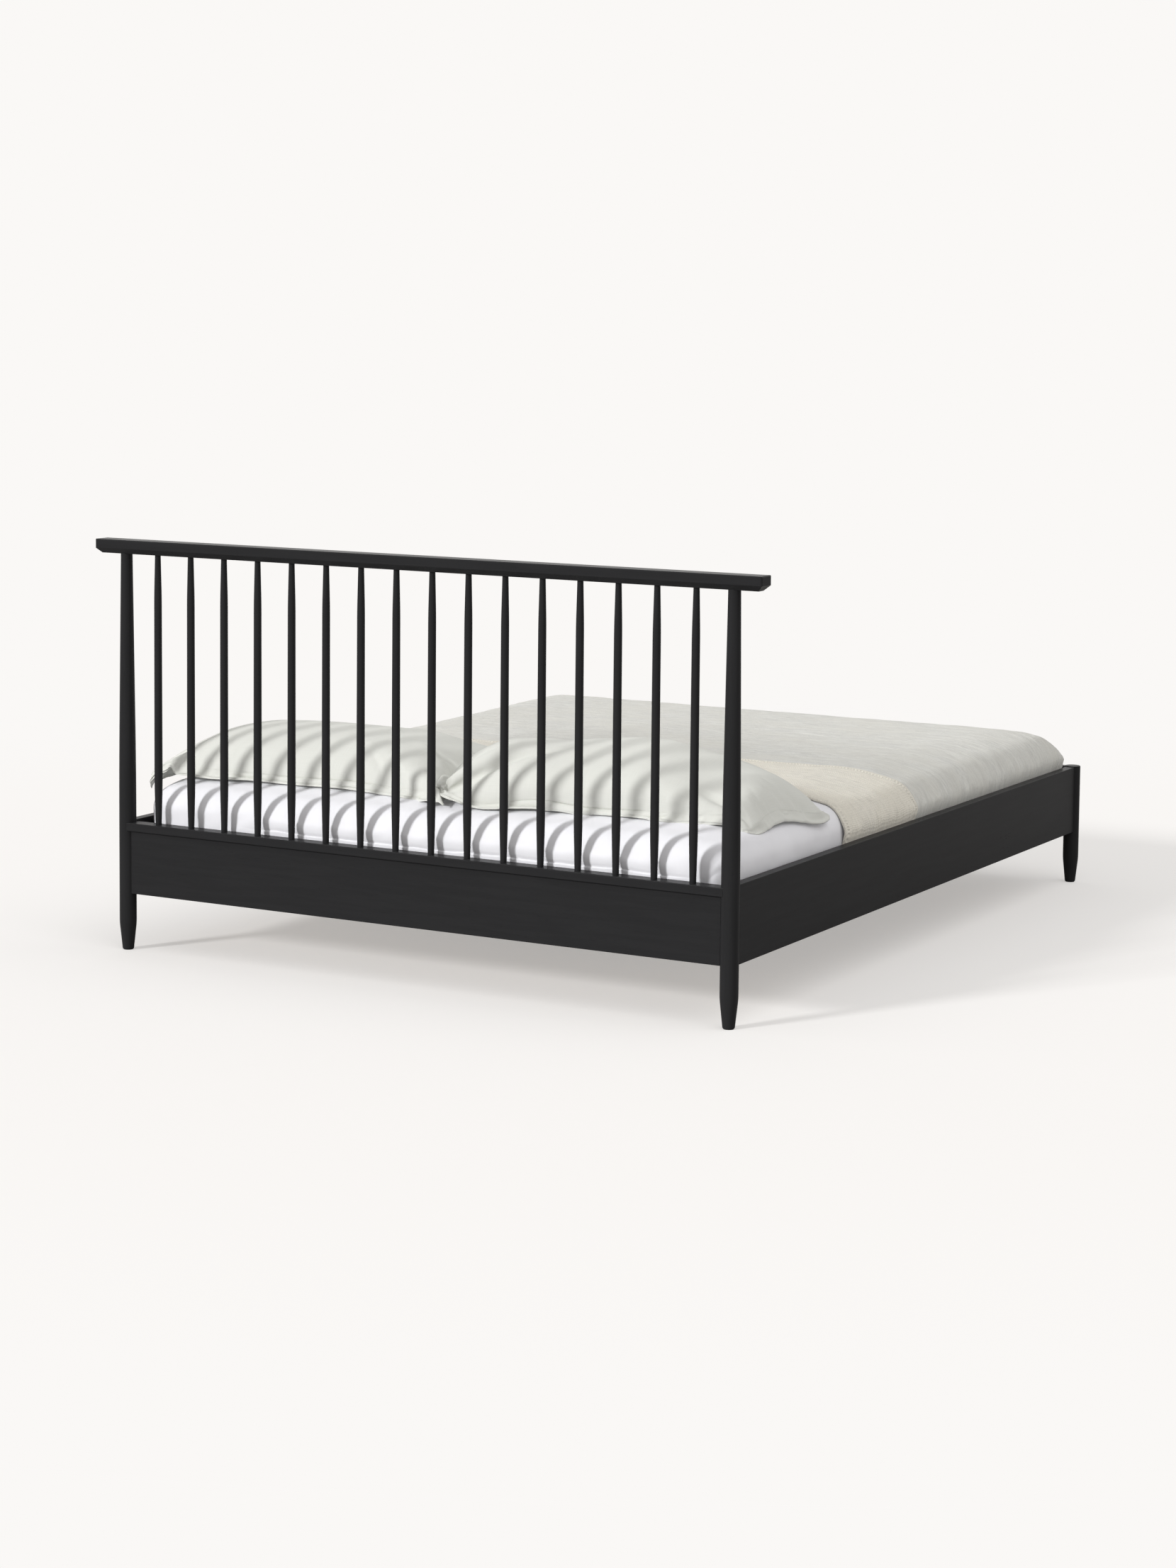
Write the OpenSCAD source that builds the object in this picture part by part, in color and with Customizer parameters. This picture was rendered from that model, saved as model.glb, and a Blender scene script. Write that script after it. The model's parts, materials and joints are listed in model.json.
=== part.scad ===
// Spindle-back double bed with its slatted base, mattress and bedding.
// X runs across the bed, with the sleeper's left at +X. The headboard is at +Y and the foot at -Y,
// and the floor is at Z = 0.

/* [Mattress] */
// Width of the mattress
mattress_w = 1600; // [1200:10:1800]
// Length of the mattress
mattress_l = 2070; // [1900:10:2200]
// Thickness of the mattress
mattress_h = 166; // [120:1:260]
// Radius of the mattress's corners, seen from above
mattress_corner_r = 85; // [50:1:140]
// Radius of the mattress's top and bottom edges
mattress_edge_r = 45; // [30:1:80]
// Rise of the mattress's crown
mattress_crown = 36; // [1:1:50]
// Distance over which the crown rises, in from the rounded edge
crown_run = 160; // [120:10:400]

/* [Frame] */
// Height of the rails' lower edge above the floor
rail_clearance = 141; // [100:1:260]
// Height of the side rails and the foot rail
rail_h = 180; // [160:1:260]
// Thickness of the side rails and the foot rail
rail_t = 25; // [22:1:30]
// Gap between the mattress and each side rail
side_gap = 8; // [7:1:30]
// Gap between the mattress and the foot rail
end_gap = 13; // [12:1:80]
// Distance that the side rail's outer face stands outside the post's axis
rail_stand_out = 12; // [8:1:14]
// Radius of the boards' eased edges
eased_r = 1.5; // [0.5:0.5:3]
// Clearance left where one wooden piece seats in another
fit = 0.3; // [0.1:0.05:0.5]

/* [Posts] */
// Largest diameter of the posts
post_d = 42; // [42:1:56]
// Diameter of the posts where they stand on the floor
foot_d = 28; // [24:1:36]
// Height of the taper at the foot of each post
foot_taper_h = 67; // [50:1:90]
// Diameter of a head post under the crest rail
post_top_d = 28.5; // [26:0.5:34]
// Height of the headboard, to the top of the crest rail
head_h = 1010; // [800:5:1300]
// Height that a foot post stands above the side rails
foot_post_rise = 2; // [1:1:10]

/* [Headboard] */
// Distance that the crest rail reaches past each head post's axis
crest_overhang = 77; // [40:1:120]
// Depth of the crest rail, from front to back
crest_d = 50; // [46:1:60]
// Height of the crest rail
crest_h = 34; // [32:1:50]
// Bevel along the lower edges of the crest rail
crest_bevel = 13; // [6:1:14]
// Number of spindles
spindle_count = 16; // [10:1:16]
// Largest diameter of a spindle
spindle_d = 20; // [18:1:24]
// Diameter of a spindle below the crest rail
spindle_top_d = 14; // [13.5:0.5:16]
// Diameter of a spindle above the cap rail
spindle_foot_d = 15; // [13.5:0.5:17]
// Diameter of a spindle where its upper taper starts
spindle_neck_d = 18.6; // [17:0.1:20]
// Length of a spindle's upper and lower tapers
spindle_taper_l = 101; // [80:1:150]
// Distance from a head post's axis to the nearest spindle's
spindle_end = 93; // [80:1:110]
// Height of the cap rail that carries the spindles
cap_h = 20; // [20:1:30]
// Depth of the cap rail, from front to back
cap_d = 38; // [36:1:40]
// Drop of the cap rail's top below the side rails' top
cap_drop = 4; // [0:1:10]
// Thickness of the head panel
panel_t = 22; // [18:1:26]

/* [Slatted base] */
// Number of slats
slat_count = 14; // [10:1:14]
// Width of a slat
slat_w = 90; // [60:1:95]
// Thickness of a slat
slat_t = 18; // [14:1:24]
// Width of the ledger under the slats' ends
ledger_w = 30; // [24:1:36]
// Height of the ledger
ledger_h = 40; // [30:1:44]
// Depth that the mattress sinks below the rails' top
mattress_sink = 92; // [80:1:100]
// Width of the centre beam
beam_w = 40; // [36:1:50]
// Height of the centre beam
beam_h = 58; // [45:1:60]
// Distance between the two centre legs
centre_leg_span = 700; // [400:10:900]
// Diameter of the centre legs
centre_leg_d = 38; // [34:1:40]
// Width of the webbing that joins the slats
strap_w = 25; // [15:1:40]
// Thickness of the webbing
strap_t = 1.2; // [1:0.1:2]

/* [Fittings] */
// Diameter of the studs that join rails to posts
stud_d = 8; // [6:1:8]
// Distance of a stud's axis from the rail's nearer edge
stud_inset = 49; // [40:1:55]
// Length of those studs
stud_l = 76; // [60:1:90]
// Diameter of the pocket for a stud's nut
pocket_d = 32; // [28:1:36]
// Diameter of the wooden dowels
dowel_d = 10; // [8:1:12]
// Length of the wooden dowels
dowel_l = 36; // [30:1:44]
// Thickness of the beam shoes' steel
shoe_t = 2; // [1.5:0.5:3]
// Depth of a beam shoe's cradle
shoe_l = 40; // [30:1:60]
// Shank diameter of the wood screws
screw_d = 4; // [3:0.5:5]

/* [Bedding] */
// Thickness of the fitted sheet
sheet_t = 1.2; // [1:0.1:2]
// Thickness of the coverlet
coverlet_t = 3; // [2:0.5:3.5]
// Distance from the mattress's head end to the coverlet's edge
coverlet_start = 595; // [400:5:900]
// Length of the coverlet's end that is turned back over itself
turn_back_l = 420; // [200:10:700]
// Rise of the turned-back end above the coverlet
turn_back_t = 2.2; // [1:0.1:3]
// Distance that a pillow reaches past the mattress's side
pillow_overhang = 25; // [-60:5:40]
// Gap between the two pillows
pillow_gap = 10; // [2:1:60]
// Width of a pillow, along the bed
pillow_w = 520; // [400:5:540]
// Height of a pillow's crown
pillow_h = 132; // [80:1:160]
// Width of the flat border round a pillow's case
pillow_border = 42; // [20:1:70]
// Height of that border above the pillow's underside
pillow_border_z = 8; // [3:1:30]
// Distance that a pillow's sides draw in between its corners
pillow_draw_in = 14; // [0:1:30]
// Gap between the mattress's head end and a pillow
pillow_setback = 50; // [0:1:80]

/* [Hidden] */
$fn = 48;
eps = 0.02;

// The frame's main lines
rail_top = rail_clearance + rail_h;
rail_in_x = mattress_w / 2 + side_gap;
post_x = rail_in_x + rail_t - rail_stand_out;
mid_y = -(crest_d - post_d) / 4;
post_span = mattress_l + 2 * end_gap + rail_t;
head_y = mid_y + post_span / 2;
foot_y = mid_y - post_span / 2;
post_r = post_d / 2;
crest_l = 2 * (post_x + crest_overhang);
crest_z = head_h - crest_h;
spindle_pitch = 2 * (post_x - spindle_end) / (spindle_count - 1);
cap_top = rail_top - cap_drop;
cap_z = cap_top - cap_h;
foot_post_h = rail_top + foot_post_rise;
foot_edge_r = 2.5;

// Wooden joints
tenon_t = 12;
tenon_l = 11;
tenon_shoulder = 20;
head_tenons = [[rail_clearance + tenon_shoulder, cap_z - tenon_shoulder / 2],
               [cap_z + cap_h / 4, cap_top - cap_h / 4]];
foot_tenons = [[rail_clearance + tenon_shoulder, rail_top - tenon_shoulder]];
tongue_t = 10;
tongue_h = 5.5;
spindle_tenon_d = 12;
spindle_tenon_l = 11;
crest_tenon_l = 16;
post_tenon_d = 18;
post_tenon_l = 20;
socket_gap = 0.5;

// Fittings
stud_x = rail_in_x + rail_t / 2;
stud_engage = 22;
stud_heights = [rail_clearance + stud_inset, rail_top - stud_inset];
dowel_z = rail_clearance + rail_h / 2;
dowel_engage = 16;
pocket_wall = 4;
pocket_depth = rail_t - pocket_wall;
nut_h = 0.8 * stud_d;
nut_across_flats = 1.625 * stud_d;
washer_t = 8;
stud_start = post_span / 2 - post_r + stud_engage;
stud_end = stud_start - stud_l;
nut_gap = 3;
nut_face = stud_end + nut_gap;
washer_face = nut_face + nut_h;
pocket_y = washer_face + washer_t - pocket_d / 2;
screw_head_d = 2 * screw_d;
screw_head_h = screw_d / 2;
screw_bite = 14;
pilot_gap = 0.5;

// Slatted base
mattress_z = rail_top - mattress_sink;
slat_z = mattress_z - slat_t;
slat_end_gap = 3;
slat_l = 2 * (rail_in_x - slat_end_gap);
pocket_clearance = 4;
ledger_l = 2 * (pocket_y - pocket_d / 2 - pocket_clearance);
ledger_x = rail_in_x - ledger_w / 2;
ledger_screw_count = 7;
ledger_screw_inset = 60;
slat_field = ledger_l - 2 * slat_end_gap;
slat_pitch = (slat_field - slat_w) / (slat_count - 1);
strap_inset = 220;
strap_x = rail_in_x - strap_inset;
panel_in_y = head_y - panel_t / 2;
foot_rail_in_y = foot_y + rail_t / 2;
beam_z = slat_z - beam_h;
beam_gap = 0.5;
beam_head_y = panel_in_y - shoe_t - beam_gap;
beam_foot_y = foot_rail_in_y + shoe_t + beam_gap;
shoe_flange = 26;
shoe_top_gap = 3;
pan_head_h = 2.4;
hanger_bolt_d = 8;
hanger_bolt_reach = 32;
hanger_bolt_gap = 1;

// Bedding
sheet_gap = 0.3;
sheet_out = sheet_gap + sheet_t;
mattress_top = mattress_z + mattress_h;
sheet_hem_z = mattress_z + 30;
coverlet_in = sheet_out + sheet_gap;
coverlet_out = coverlet_in + coverlet_t;
coverlet_hem_z = mattress_z + 20;
coverlet_head_y = mid_y + mattress_l / 2 - coverlet_start;
pillow_seam_t = 5;
pillow_rest = 0.4;
pillow_l = mattress_w / 2 + pillow_overhang - pillow_gap / 2;
pillow_x = (pillow_l + pillow_gap) / 2;
pillow_corner_r = 22;
pillow_y = mid_y + mattress_l / 2 - pillow_setback - pillow_w / 2;
pillow_z = mattress_top + mattress_crown + sheet_out + pillow_rest;

// Colours
stain = "#2b2b2c";
pine = "#c9a877";
beech = "#c8a27a";
steel = "#b4b6b8";
webbing = "#d9d4c8";
linen_white = "#eeeef1";
stone_linen = "#d6d6d1";
gauze = "#cbc9c1";

SPINDLES = [for (i = [1:spindle_count]) str("spindle_", i < 10 ? "0" : "", i)];
SLATS = [for (i = [1:slat_count]) str("slat_", i < 10 ? "0" : "", i)];

// A polyline of [radius, height] with each inner corner softened over its own length.
function softened(points, lengths, steps = 6) = concat(
    [points[0]],
    [for (i = [1:len(points) - 2])
        let (c = points[i],
             a = c + (points[i - 1] - c) * lengths[i] / norm(points[i - 1] - c),
             b = c + (points[i + 1] - c) * lengths[i] / norm(points[i + 1] - c))
        for (s = [0:steps]) let (t = s / steps) a * pow(1 - t, 2) + c * 2 * t * (1 - t) + b * t * t],
    [points[len(points) - 1]]);

// A solid turned about the Z axis from its outline.
module turned(outline) {
    top = outline[len(outline) - 1][1];
    rotate_extrude($fn = 64)
        polygon(concat([[0, outline[0][1]]], outline, [[0, top]]));
}

// A board's section with its four edges eased, and boards of that section along X and along Y.
module eased(w, h, r = eased_r) {
    square([w - 2 * r, h], center = true);
    square([w, h - 2 * r], center = true);
    for (x = [-1, 1], y = [-1, 1]) translate([x * (w / 2 - r), y * (h / 2 - r)]) circle(r);
}

module board_x(l, w, h) {
    rotate([90, 0, 90]) linear_extrude(l, center = true) eased(w, h);
}

module board_y(l, w, h) {
    rotate([90, 0, 0]) linear_extrude(l, center = true) eased(w, h);
}

// The rounded rim and the taper at the foot of every leg.
function foot_outline(d) = [[foot_d / 2 - foot_edge_r, 0], [foot_d / 2, foot_edge_r], [d / 2, foot_taper_h]];

module head_post(side) {
    taper_start = rail_top + 120;
    cope_h = 3;
    outline = concat(foot_outline(post_d), [[post_r, taper_start], [post_top_d / 2, crest_z + cope_h]]);
    color(stain)
    translate([side * post_x, head_y, 0]) {
        difference() {
            turned(softened(outline, [0, 1.5, 12, 110, 0]));
            translate([-side * post_x, 0, 0]) crest_body(fit);
            post_mortises(side, 1, head_tenons);
        }
        translate([0, 0, crest_z - 2]) cylinder(d = post_tenon_d, h = post_tenon_l + 2);
    }
}

module foot_post(side) {
    rim = 1.5;
    outline = concat(foot_outline(post_d), [[post_r, foot_post_h - rim], [post_r - rim, foot_post_h]]);
    color(stain)
    translate([side * post_x, foot_y, 0])
    difference() {
        turned(softened(outline, [0, 1.5, 12, 0.8, 0]));
        post_mortises(side, -1, foot_tenons);
    }
}

// The mortises for the cross boards' tenons, and the holes for the side rail's studs and dowel.
module post_mortises(side, end, tenons) {
    for (t = tenons)
        translate([-side * post_r, 0, (t[0] + t[1]) / 2])
            cube([2 * (tenon_l + socket_gap), tenon_t + 2 * fit, t[1] - t[0] + 2 * fit], center = true);
    for (z = stud_heights)
        translate([side * (stud_x - post_x), -end * (post_r - stud_engage), z])
            rotate([end * 90, 0, 0]) cylinder(d = stud_d, h = post_d);
    translate([side * (stud_x - post_x), -end * (post_r - dowel_engage - socket_gap), dowel_z])
        rotate([end * 90, 0, 0]) cylinder(d = dowel_d + 2 * eps, h = post_d);
}

// The crest rail's outside: a board bevelled along its lower edges and at both ends.
module crest_body(grow = 0) {
    edge = 2.5;
    half = crest_d / 2 + grow;
    low = crest_z - grow;
    intersection() {
        rotate([90, 0, 90])
        linear_extrude(crest_l, center = true)
            polygon([[-half + crest_bevel, low], [half - crest_bevel, low], [half, low + crest_bevel],
                     [half, head_h - edge], [half - edge, head_h], [-half + edge, head_h],
                     [-half, head_h - edge], [-half, low + crest_bevel]]);
        rotate([90, 0, 0])
        linear_extrude(crest_d + 2 * grow + 2, center = true)
            polygon([[-crest_l / 2 + crest_bevel, low], [crest_l / 2 - crest_bevel, low],
                     [crest_l / 2, low + crest_bevel], [crest_l / 2, head_h - edge],
                     [crest_l / 2 - edge, head_h + eps], [-crest_l / 2 + edge, head_h + eps],
                     [-crest_l / 2, head_h - edge], [-crest_l / 2, low + crest_bevel]]);
        corner_r = 5;
        translate([0, 0, low - 1])
        linear_extrude(crest_h + 2 * grow + 3)
        difference() {
            square([crest_l + 1, 2 * half + 1], center = true);
            for (x = [-1, 1], y = [-1, 1])
                translate([x * (crest_l / 2 - corner_r), y * (half - corner_r)])
                difference() {
                    translate([x > 0 ? 0 : -2 * corner_r, y > 0 ? 0 : -2 * corner_r]) square(2 * corner_r);
                    circle(corner_r);
                }
        }
    }
}

function spindle_x(i) = (i - (spindle_count + 1) / 2) * spindle_pitch;

module crest_rail() {
    color(stain)
    translate([0, head_y, 0])
    difference() {
        crest_body();
        for (i = [1:spindle_count])
            translate([spindle_x(i), 0, crest_z - 1])
                cylinder(d = spindle_tenon_d + 2 * eps, h = crest_tenon_l + socket_gap + 1);
        for (side = [-1, 1])
            translate([side * post_x, 0, crest_z - 1])
                cylinder(d = post_tenon_d + 2 * eps, h = post_tenon_l + socket_gap + 1);
    }
}

module spindle(i) {
    length = crest_z - cap_top;
    r = spindle_d / 2;
    outline = [[spindle_foot_d / 2, 0], [r, spindle_taper_l], [spindle_neck_d / 2, length - spindle_taper_l],
               [spindle_top_d / 2, length]];
    color(stain)
    translate([spindle_x(i), head_y, cap_top]) {
        turned(softened(outline, [0, 22, 22, 0], 5));
        translate([0, 0, -spindle_tenon_l]) cylinder(d = spindle_tenon_d, h = spindle_tenon_l + 1);
        translate([0, 0, length - 1]) cylinder(d = spindle_tenon_d, h = crest_tenon_l + 1);
    }
}

// A board between two posts, with its ends coped to them and a stub tenon on each.
module cross_board(y, depth, z0, z1, tenon) {
    root = 4;
    translate([0, y, 0]) {
        difference() {
            translate([0, 0, (z0 + z1) / 2]) board_x(2 * post_x, depth, z1 - z0);
            for (side = [-1, 1])
                translate([side * post_x, 0, z0 - 1])
                    cylinder(r = post_r + fit, h = z1 - z0 + 2, $fn = 96);
        }
        for (side = [-1, 1])
            translate([side * (post_x - post_r + (tenon_l - root) / 2), 0, (tenon[0] + tenon[1]) / 2])
                cube([tenon_l + root, tenon_t, tenon[1] - tenon[0]], center = true);
    }
}

module cap_rail() {
    groove_t = tongue_t + 2 * fit;
    color(stain)
    difference() {
        cross_board(head_y, cap_d, cap_z, cap_top, head_tenons[1]);
        for (i = [1:spindle_count])
            translate([spindle_x(i), head_y, cap_top - spindle_tenon_l - socket_gap])
                cylinder(d = spindle_tenon_d + 2 * eps, h = spindle_tenon_l + socket_gap + 1);
        translate([-post_x, head_y - groove_t / 2, cap_z - 1])
            cube([2 * post_x, groove_t, tongue_h + socket_gap + 1]);
    }
}

// The panel under the cap rail, with a tongue along its top and pilot holes for the beam's shoe.
module head_panel() {
    tongue_l = 2 * (post_x - post_d);
    color(stain)
    difference() {
        union() {
            cross_board(head_y, panel_t, rail_clearance, cap_z, head_tenons[0]);
            translate([-tongue_l / 2, head_y - tongue_t / 2, cap_z - 1])
                cube([tongue_l, tongue_t, tongue_h + 1]);
        }
        at_head_shoe() shoe_pilots();
    }
}

module foot_rail() {
    color(stain)
    difference() {
        cross_board(foot_y, rail_t, rail_clearance, rail_top, foot_tenons[0]);
        at_foot_shoe() shoe_pilots();
    }
}

// A side rail, coped to both posts, with its stud bores, nut pockets, dowel holes and pilot holes.
module side_rail(side) {
    color(stain)
    difference() {
        translate([side * stud_x, mid_y, rail_clearance + rail_h / 2]) board_y(post_span, rail_t, rail_h);
        for (y = [head_y, foot_y])
            translate([side * post_x, y, rail_clearance - 1])
                cylinder(r = post_r + fit, h = rail_h + 2, $fn = 96);
        for (end = [-1, 1]) {
            for (z = stud_heights) {
                translate([side * stud_x, mid_y + end * post_span / 2, z])
                    rotate([end * 90, 0, 0]) cylinder(d = stud_d + 2, h = post_span / 2 - pocket_y);
                translate([side * (rail_in_x - 1), mid_y + end * pocket_y, z])
                    rotate([0, side * 90, 0]) cylinder(d = pocket_d, h = pocket_depth + 1);
            }
            translate([side * stud_x, mid_y + end * (post_span / 2 - post_r + dowel_engage), dowel_z])
                rotate([end * 90, 0, 0]) cylinder(d = dowel_d + 2 * eps, h = dowel_l + socket_gap);
        }
        at_ledger_screws(side)
            rotate([0, 90, 0]) cylinder(d = screw_d + 2 * eps, h = ledger_w + screw_bite + pilot_gap);
    }
}

// Places its children once for each side rail's end, stud side up.
module at_rail_ends() {
    for (side = [-1, 1], end = [-1, 1])
        translate([side * stud_x, mid_y, 0]) scale_y(end) children();
}

module scale_y(end) {
    if (end > 0) children();
    else mirror([0, 1, 0]) children();
}

module rail_studs() {
    color(steel)
    at_rail_ends()
        for (z = stud_heights)
            translate([0, stud_start, z]) rotate([90, 0, 0]) cylinder(d = stud_d, h = stud_l);
}

module stud_nuts() {
    color(steel)
    at_rail_ends()
        for (z = stud_heights)
            translate([0, washer_face, z])
            rotate([90, 30, 0])
            difference() {
                cylinder(d = nut_across_flats / cos(30), h = nut_h, $fn = 6);
                translate([0, 0, -1]) cylinder(d = stud_d + 2 * eps, h = nut_h + 2);
            }
}

// Half-round washers that fill the outer side of each nut pocket.
module crescent_washers() {
    r = pocket_d / 2 - fit;
    height = 2 * (pocket_depth - rail_t / 2 - fit);
    color(steel)
    at_rail_ends()
        for (z = stud_heights)
            difference() {
                intersection() {
                    translate([0, pocket_y, z]) rotate([0, 90, 0]) cylinder(r = r, h = height, center = true);
                    translate([-height, washer_face, z - r]) cube([2 * height, washer_t, 2 * r]);
                }
                translate([0, washer_face - 1, z])
                    rotate([-90, 0, 0]) cylinder(d = stud_d + 1, h = washer_t + 2);
            }
}

module rail_dowels() {
    color(beech)
    at_rail_ends()
        translate([0, post_span / 2 - post_r + dowel_engage, dowel_z])
            rotate([90, 0, 0]) cylinder(d = dowel_d, h = dowel_l);
}

ledger_screw_pitch = (ledger_l - 2 * ledger_screw_inset) / (ledger_screw_count - 1);
function ledger_screw_y(i) = mid_y + (i - (ledger_screw_count - 1) / 2) * ledger_screw_pitch;

// A countersunk wood screw along +X, its head at the origin.
module screw(length, grow = 0) {
    rotate([0, 90, 0]) {
        cylinder(d = screw_d + 2 * grow, h = length + grow);
        cylinder(d1 = screw_head_d + 2 * grow, d2 = screw_d + 2 * grow, h = screw_head_h);
    }
}

module at_ledger_screws(side) {
    for (i = [0:ledger_screw_count - 1])
        translate([side * (rail_in_x - ledger_w), ledger_screw_y(i), slat_z - ledger_h / 2])
            mirror([side > 0 ? 0 : 1, 0, 0]) children();
}

module ledger(side) {
    color(pine)
    difference() {
        translate([side * ledger_x, mid_y, slat_z - ledger_h / 2]) board_y(ledger_l, ledger_w, ledger_h);
        at_ledger_screws(side) {
            screw(ledger_w + screw_bite, eps);
            translate([-1, 0, 0]) rotate([0, 90, 0]) cylinder(d = screw_head_d + 2 * eps, h = 1 + eps);
        }
    }
}

module ledger_screws() {
    color(steel)
    for (side = [-1, 1]) at_ledger_screws(side) screw(ledger_w + screw_bite);
}

module slat(i) {
    y = mid_y + (i - (slat_count + 1) / 2) * slat_pitch;
    color(pine)
    translate([0, y, slat_z + slat_t / 2]) board_x(slat_l, slat_w, slat_t);
}

module slat_webbing() {
    color(webbing)
    for (side = [-1, 1])
        translate([side * strap_x, mid_y, slat_z - strap_t / 2])
            cube([strap_w, slat_field, strap_t], center = true);
}

module centre_beam() {
    color(pine)
    difference() {
        translate([0, (beam_foot_y + beam_head_y) / 2, beam_z + beam_h / 2])
            board_y(beam_head_y - beam_foot_y, beam_w, beam_h);
        for (end = [-1, 1])
            translate([0, mid_y + end * centre_leg_span / 2, beam_z - 1])
                cylinder(d = hanger_bolt_d + 2 * eps, h = hanger_bolt_reach + 1);
    }
}

module centre_leg(end) {
    color(stain)
    translate([0, mid_y + end * centre_leg_span / 2, 0])
    difference() {
        turned(concat(foot_outline(centre_leg_d), [[centre_leg_d / 2, beam_z]]));
        translate([0, 0, beam_z - hanger_bolt_reach])
            cylinder(d = hanger_bolt_d + 2 * eps, h = hanger_bolt_reach + 1);
    }
}

module leg_hanger_bolts() {
    color(steel)
    for (end = [-1, 1])
        translate([0, mid_y + end * centre_leg_span / 2, beam_z])
            cylinder(d = hanger_bolt_d, h = 2 * (hanger_bolt_reach - hanger_bolt_gap), center = true);
}

// These place their children at a beam shoe, with -Y pointing along the beam.
module at_head_shoe() {
    translate([0, panel_in_y, 0]) children();
}

module at_foot_shoe() {
    translate([0, foot_rail_in_y, 0]) mirror([0, 1, 0]) children();
}

shoe_screw_points = [for (x = [-1, 1], z = [0.25, 0.75])
    [x * (beam_w / 2 + shoe_t + shoe_flange / 2), beam_z + z * beam_h]];

module shoe_pilots() {
    for (p = shoe_screw_points)
        translate([p[0], -1, p[1]])
            rotate([-90, 0, 0]) cylinder(d = screw_d + 2 * eps, h = screw_bite + pilot_gap + 1);
}

// A steel cradle that hangs the beam's end, with a flange on each side for two screws.
module beam_shoe() {
    inside = beam_w + 2 * fit;
    outside = inside + 2 * shoe_t;
    floor_z = beam_z - shoe_t;
    height = beam_h + shoe_t - shoe_top_gap;
    color(steel)
    difference() {
        union() {
            translate([-outside / 2 - shoe_flange, -shoe_t, floor_z])
                cube([outside + 2 * shoe_flange, shoe_t, height]);
            translate([-outside / 2, -shoe_t - shoe_l, floor_z]) cube([outside, shoe_l + eps, height]);
        }
        translate([-inside / 2, -shoe_t - shoe_l - 1, floor_z + shoe_t]) cube([inside, shoe_l + 1, height]);
        for (p = shoe_screw_points)
            translate([p[0], -shoe_t - 1, p[1]])
                rotate([-90, 0, 0]) cylinder(d = screw_d + 2 * eps, h = shoe_t + 2);
    }
}

// Pan-head screws that hold a shoe, with their heads on its flanges.
module pan_screws() {
    for (p = shoe_screw_points)
        translate([p[0], -shoe_t, p[1]])
        rotate([90, 0, 0]) {
            cylinder(d = screw_head_d, h = pan_head_h);
            translate([0, 0, -shoe_t - screw_bite]) cylinder(d = screw_d, h = shoe_t + screw_bite + 1);
        }
}

module shoe_screws() {
    color(steel) {
        at_head_shoe() pan_screws();
        at_foot_shoe() pan_screws();
    }
}

// Soft pieces are lofted through rings of equal point counts: [[x, y, z], ...].
arc_n = 6;
function corner_arc(cx, cy, r, start) =
    [for (i = [0:arc_n]) [cx + r * cos(start + 90 * i / arc_n), cy + r * sin(start + 90 * i / arc_n)]];
function rounded_rect(w, l, r) = concat(
    corner_arc(w / 2 - r, l / 2 - r, r, 0), corner_arc(r - w / 2, l / 2 - r, r, 90),
    corner_arc(r - w / 2, r - l / 2, r, 180), corner_arc(w / 2 - r, r - l / 2, r, 270));

// Faces between rings of n points, closed by a fan at each end.
function loft_faces(n, rings) = concat(
    [for (k = [0:rings - 2], j = [0:n - 1], half = [0, 1])
        let (a = k * n + j, b = k * n + (j + 1) % n, c = a + n, d = b + n)
        half == 0 ? [a, c, b] : [b, c, d]],
    [for (j = [1:n - 2]) [0, j, j + 1]],
    let (last = (rings - 1) * n) [for (j = [1:n - 2]) [last, last + j + 1, last + j]]);

module loft(rings) {
    polyhedron([for (ring = rings) each ring], loft_faces(len(rings[0]), len(rings)));
}

// One ring of the mattress's outside, grown by some clearance: inset from the edge, and its height.
function mattress_ring(inset, z, grow) =
    let (w = mattress_w + 2 * grow - 2 * inset, l = mattress_l + 2 * grow - 2 * inset,
         r = max(mattress_corner_r + grow - inset * 0.5, 8))
    [for (p = rounded_rect(w, l, min(r, w / 2 - 1, l / 2 - 1))) [p[0], p[1] + mid_y, z]];

edge_steps = 5;
crown_steps = 4;
// The mattress's profile from its widest line up to its crown: [inset, height].
function top_profile(grow) = concat(
    [for (i = [0:edge_steps]) let (a = 90 * i / edge_steps)
        [mattress_edge_r * (1 - cos(a)), mattress_top + grow - mattress_edge_r * (1 - sin(a))]],
    [for (i = [1:crown_steps]) let (t = i / crown_steps)
        [mattress_edge_r + t * crown_run, mattress_top + grow + mattress_crown * sin(90 * t)]]);

module mattress() {
    foot_r = 18;
    bottom = [for (i = [0:2]) let (a = 45 * i) [foot_r * (1 - sin(a)), mattress_z + foot_r * (1 - cos(a))]];
    color(linen_white)
        loft([for (p = concat(bottom, top_profile(0))) mattress_ring(p[0], p[1], 0)]);
}

// The fitted sheet is a thin shell over the mattress, from its hem to the crown and back inside.
module fitted_sheet() {
    outer = concat([[0, sheet_hem_z]], top_profile(sheet_out));
    inner = concat([[0, sheet_hem_z]], top_profile(sheet_gap));
    turns = len(inner) - 1;
    color(linen_white)
        loft(concat([for (i = [turns:-1:0]) mattress_ring(inner[i][0], inner[i][1], sheet_gap)],
                    [for (p = outer) mattress_ring(p[0], p[1], sheet_out)]));
}

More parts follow.
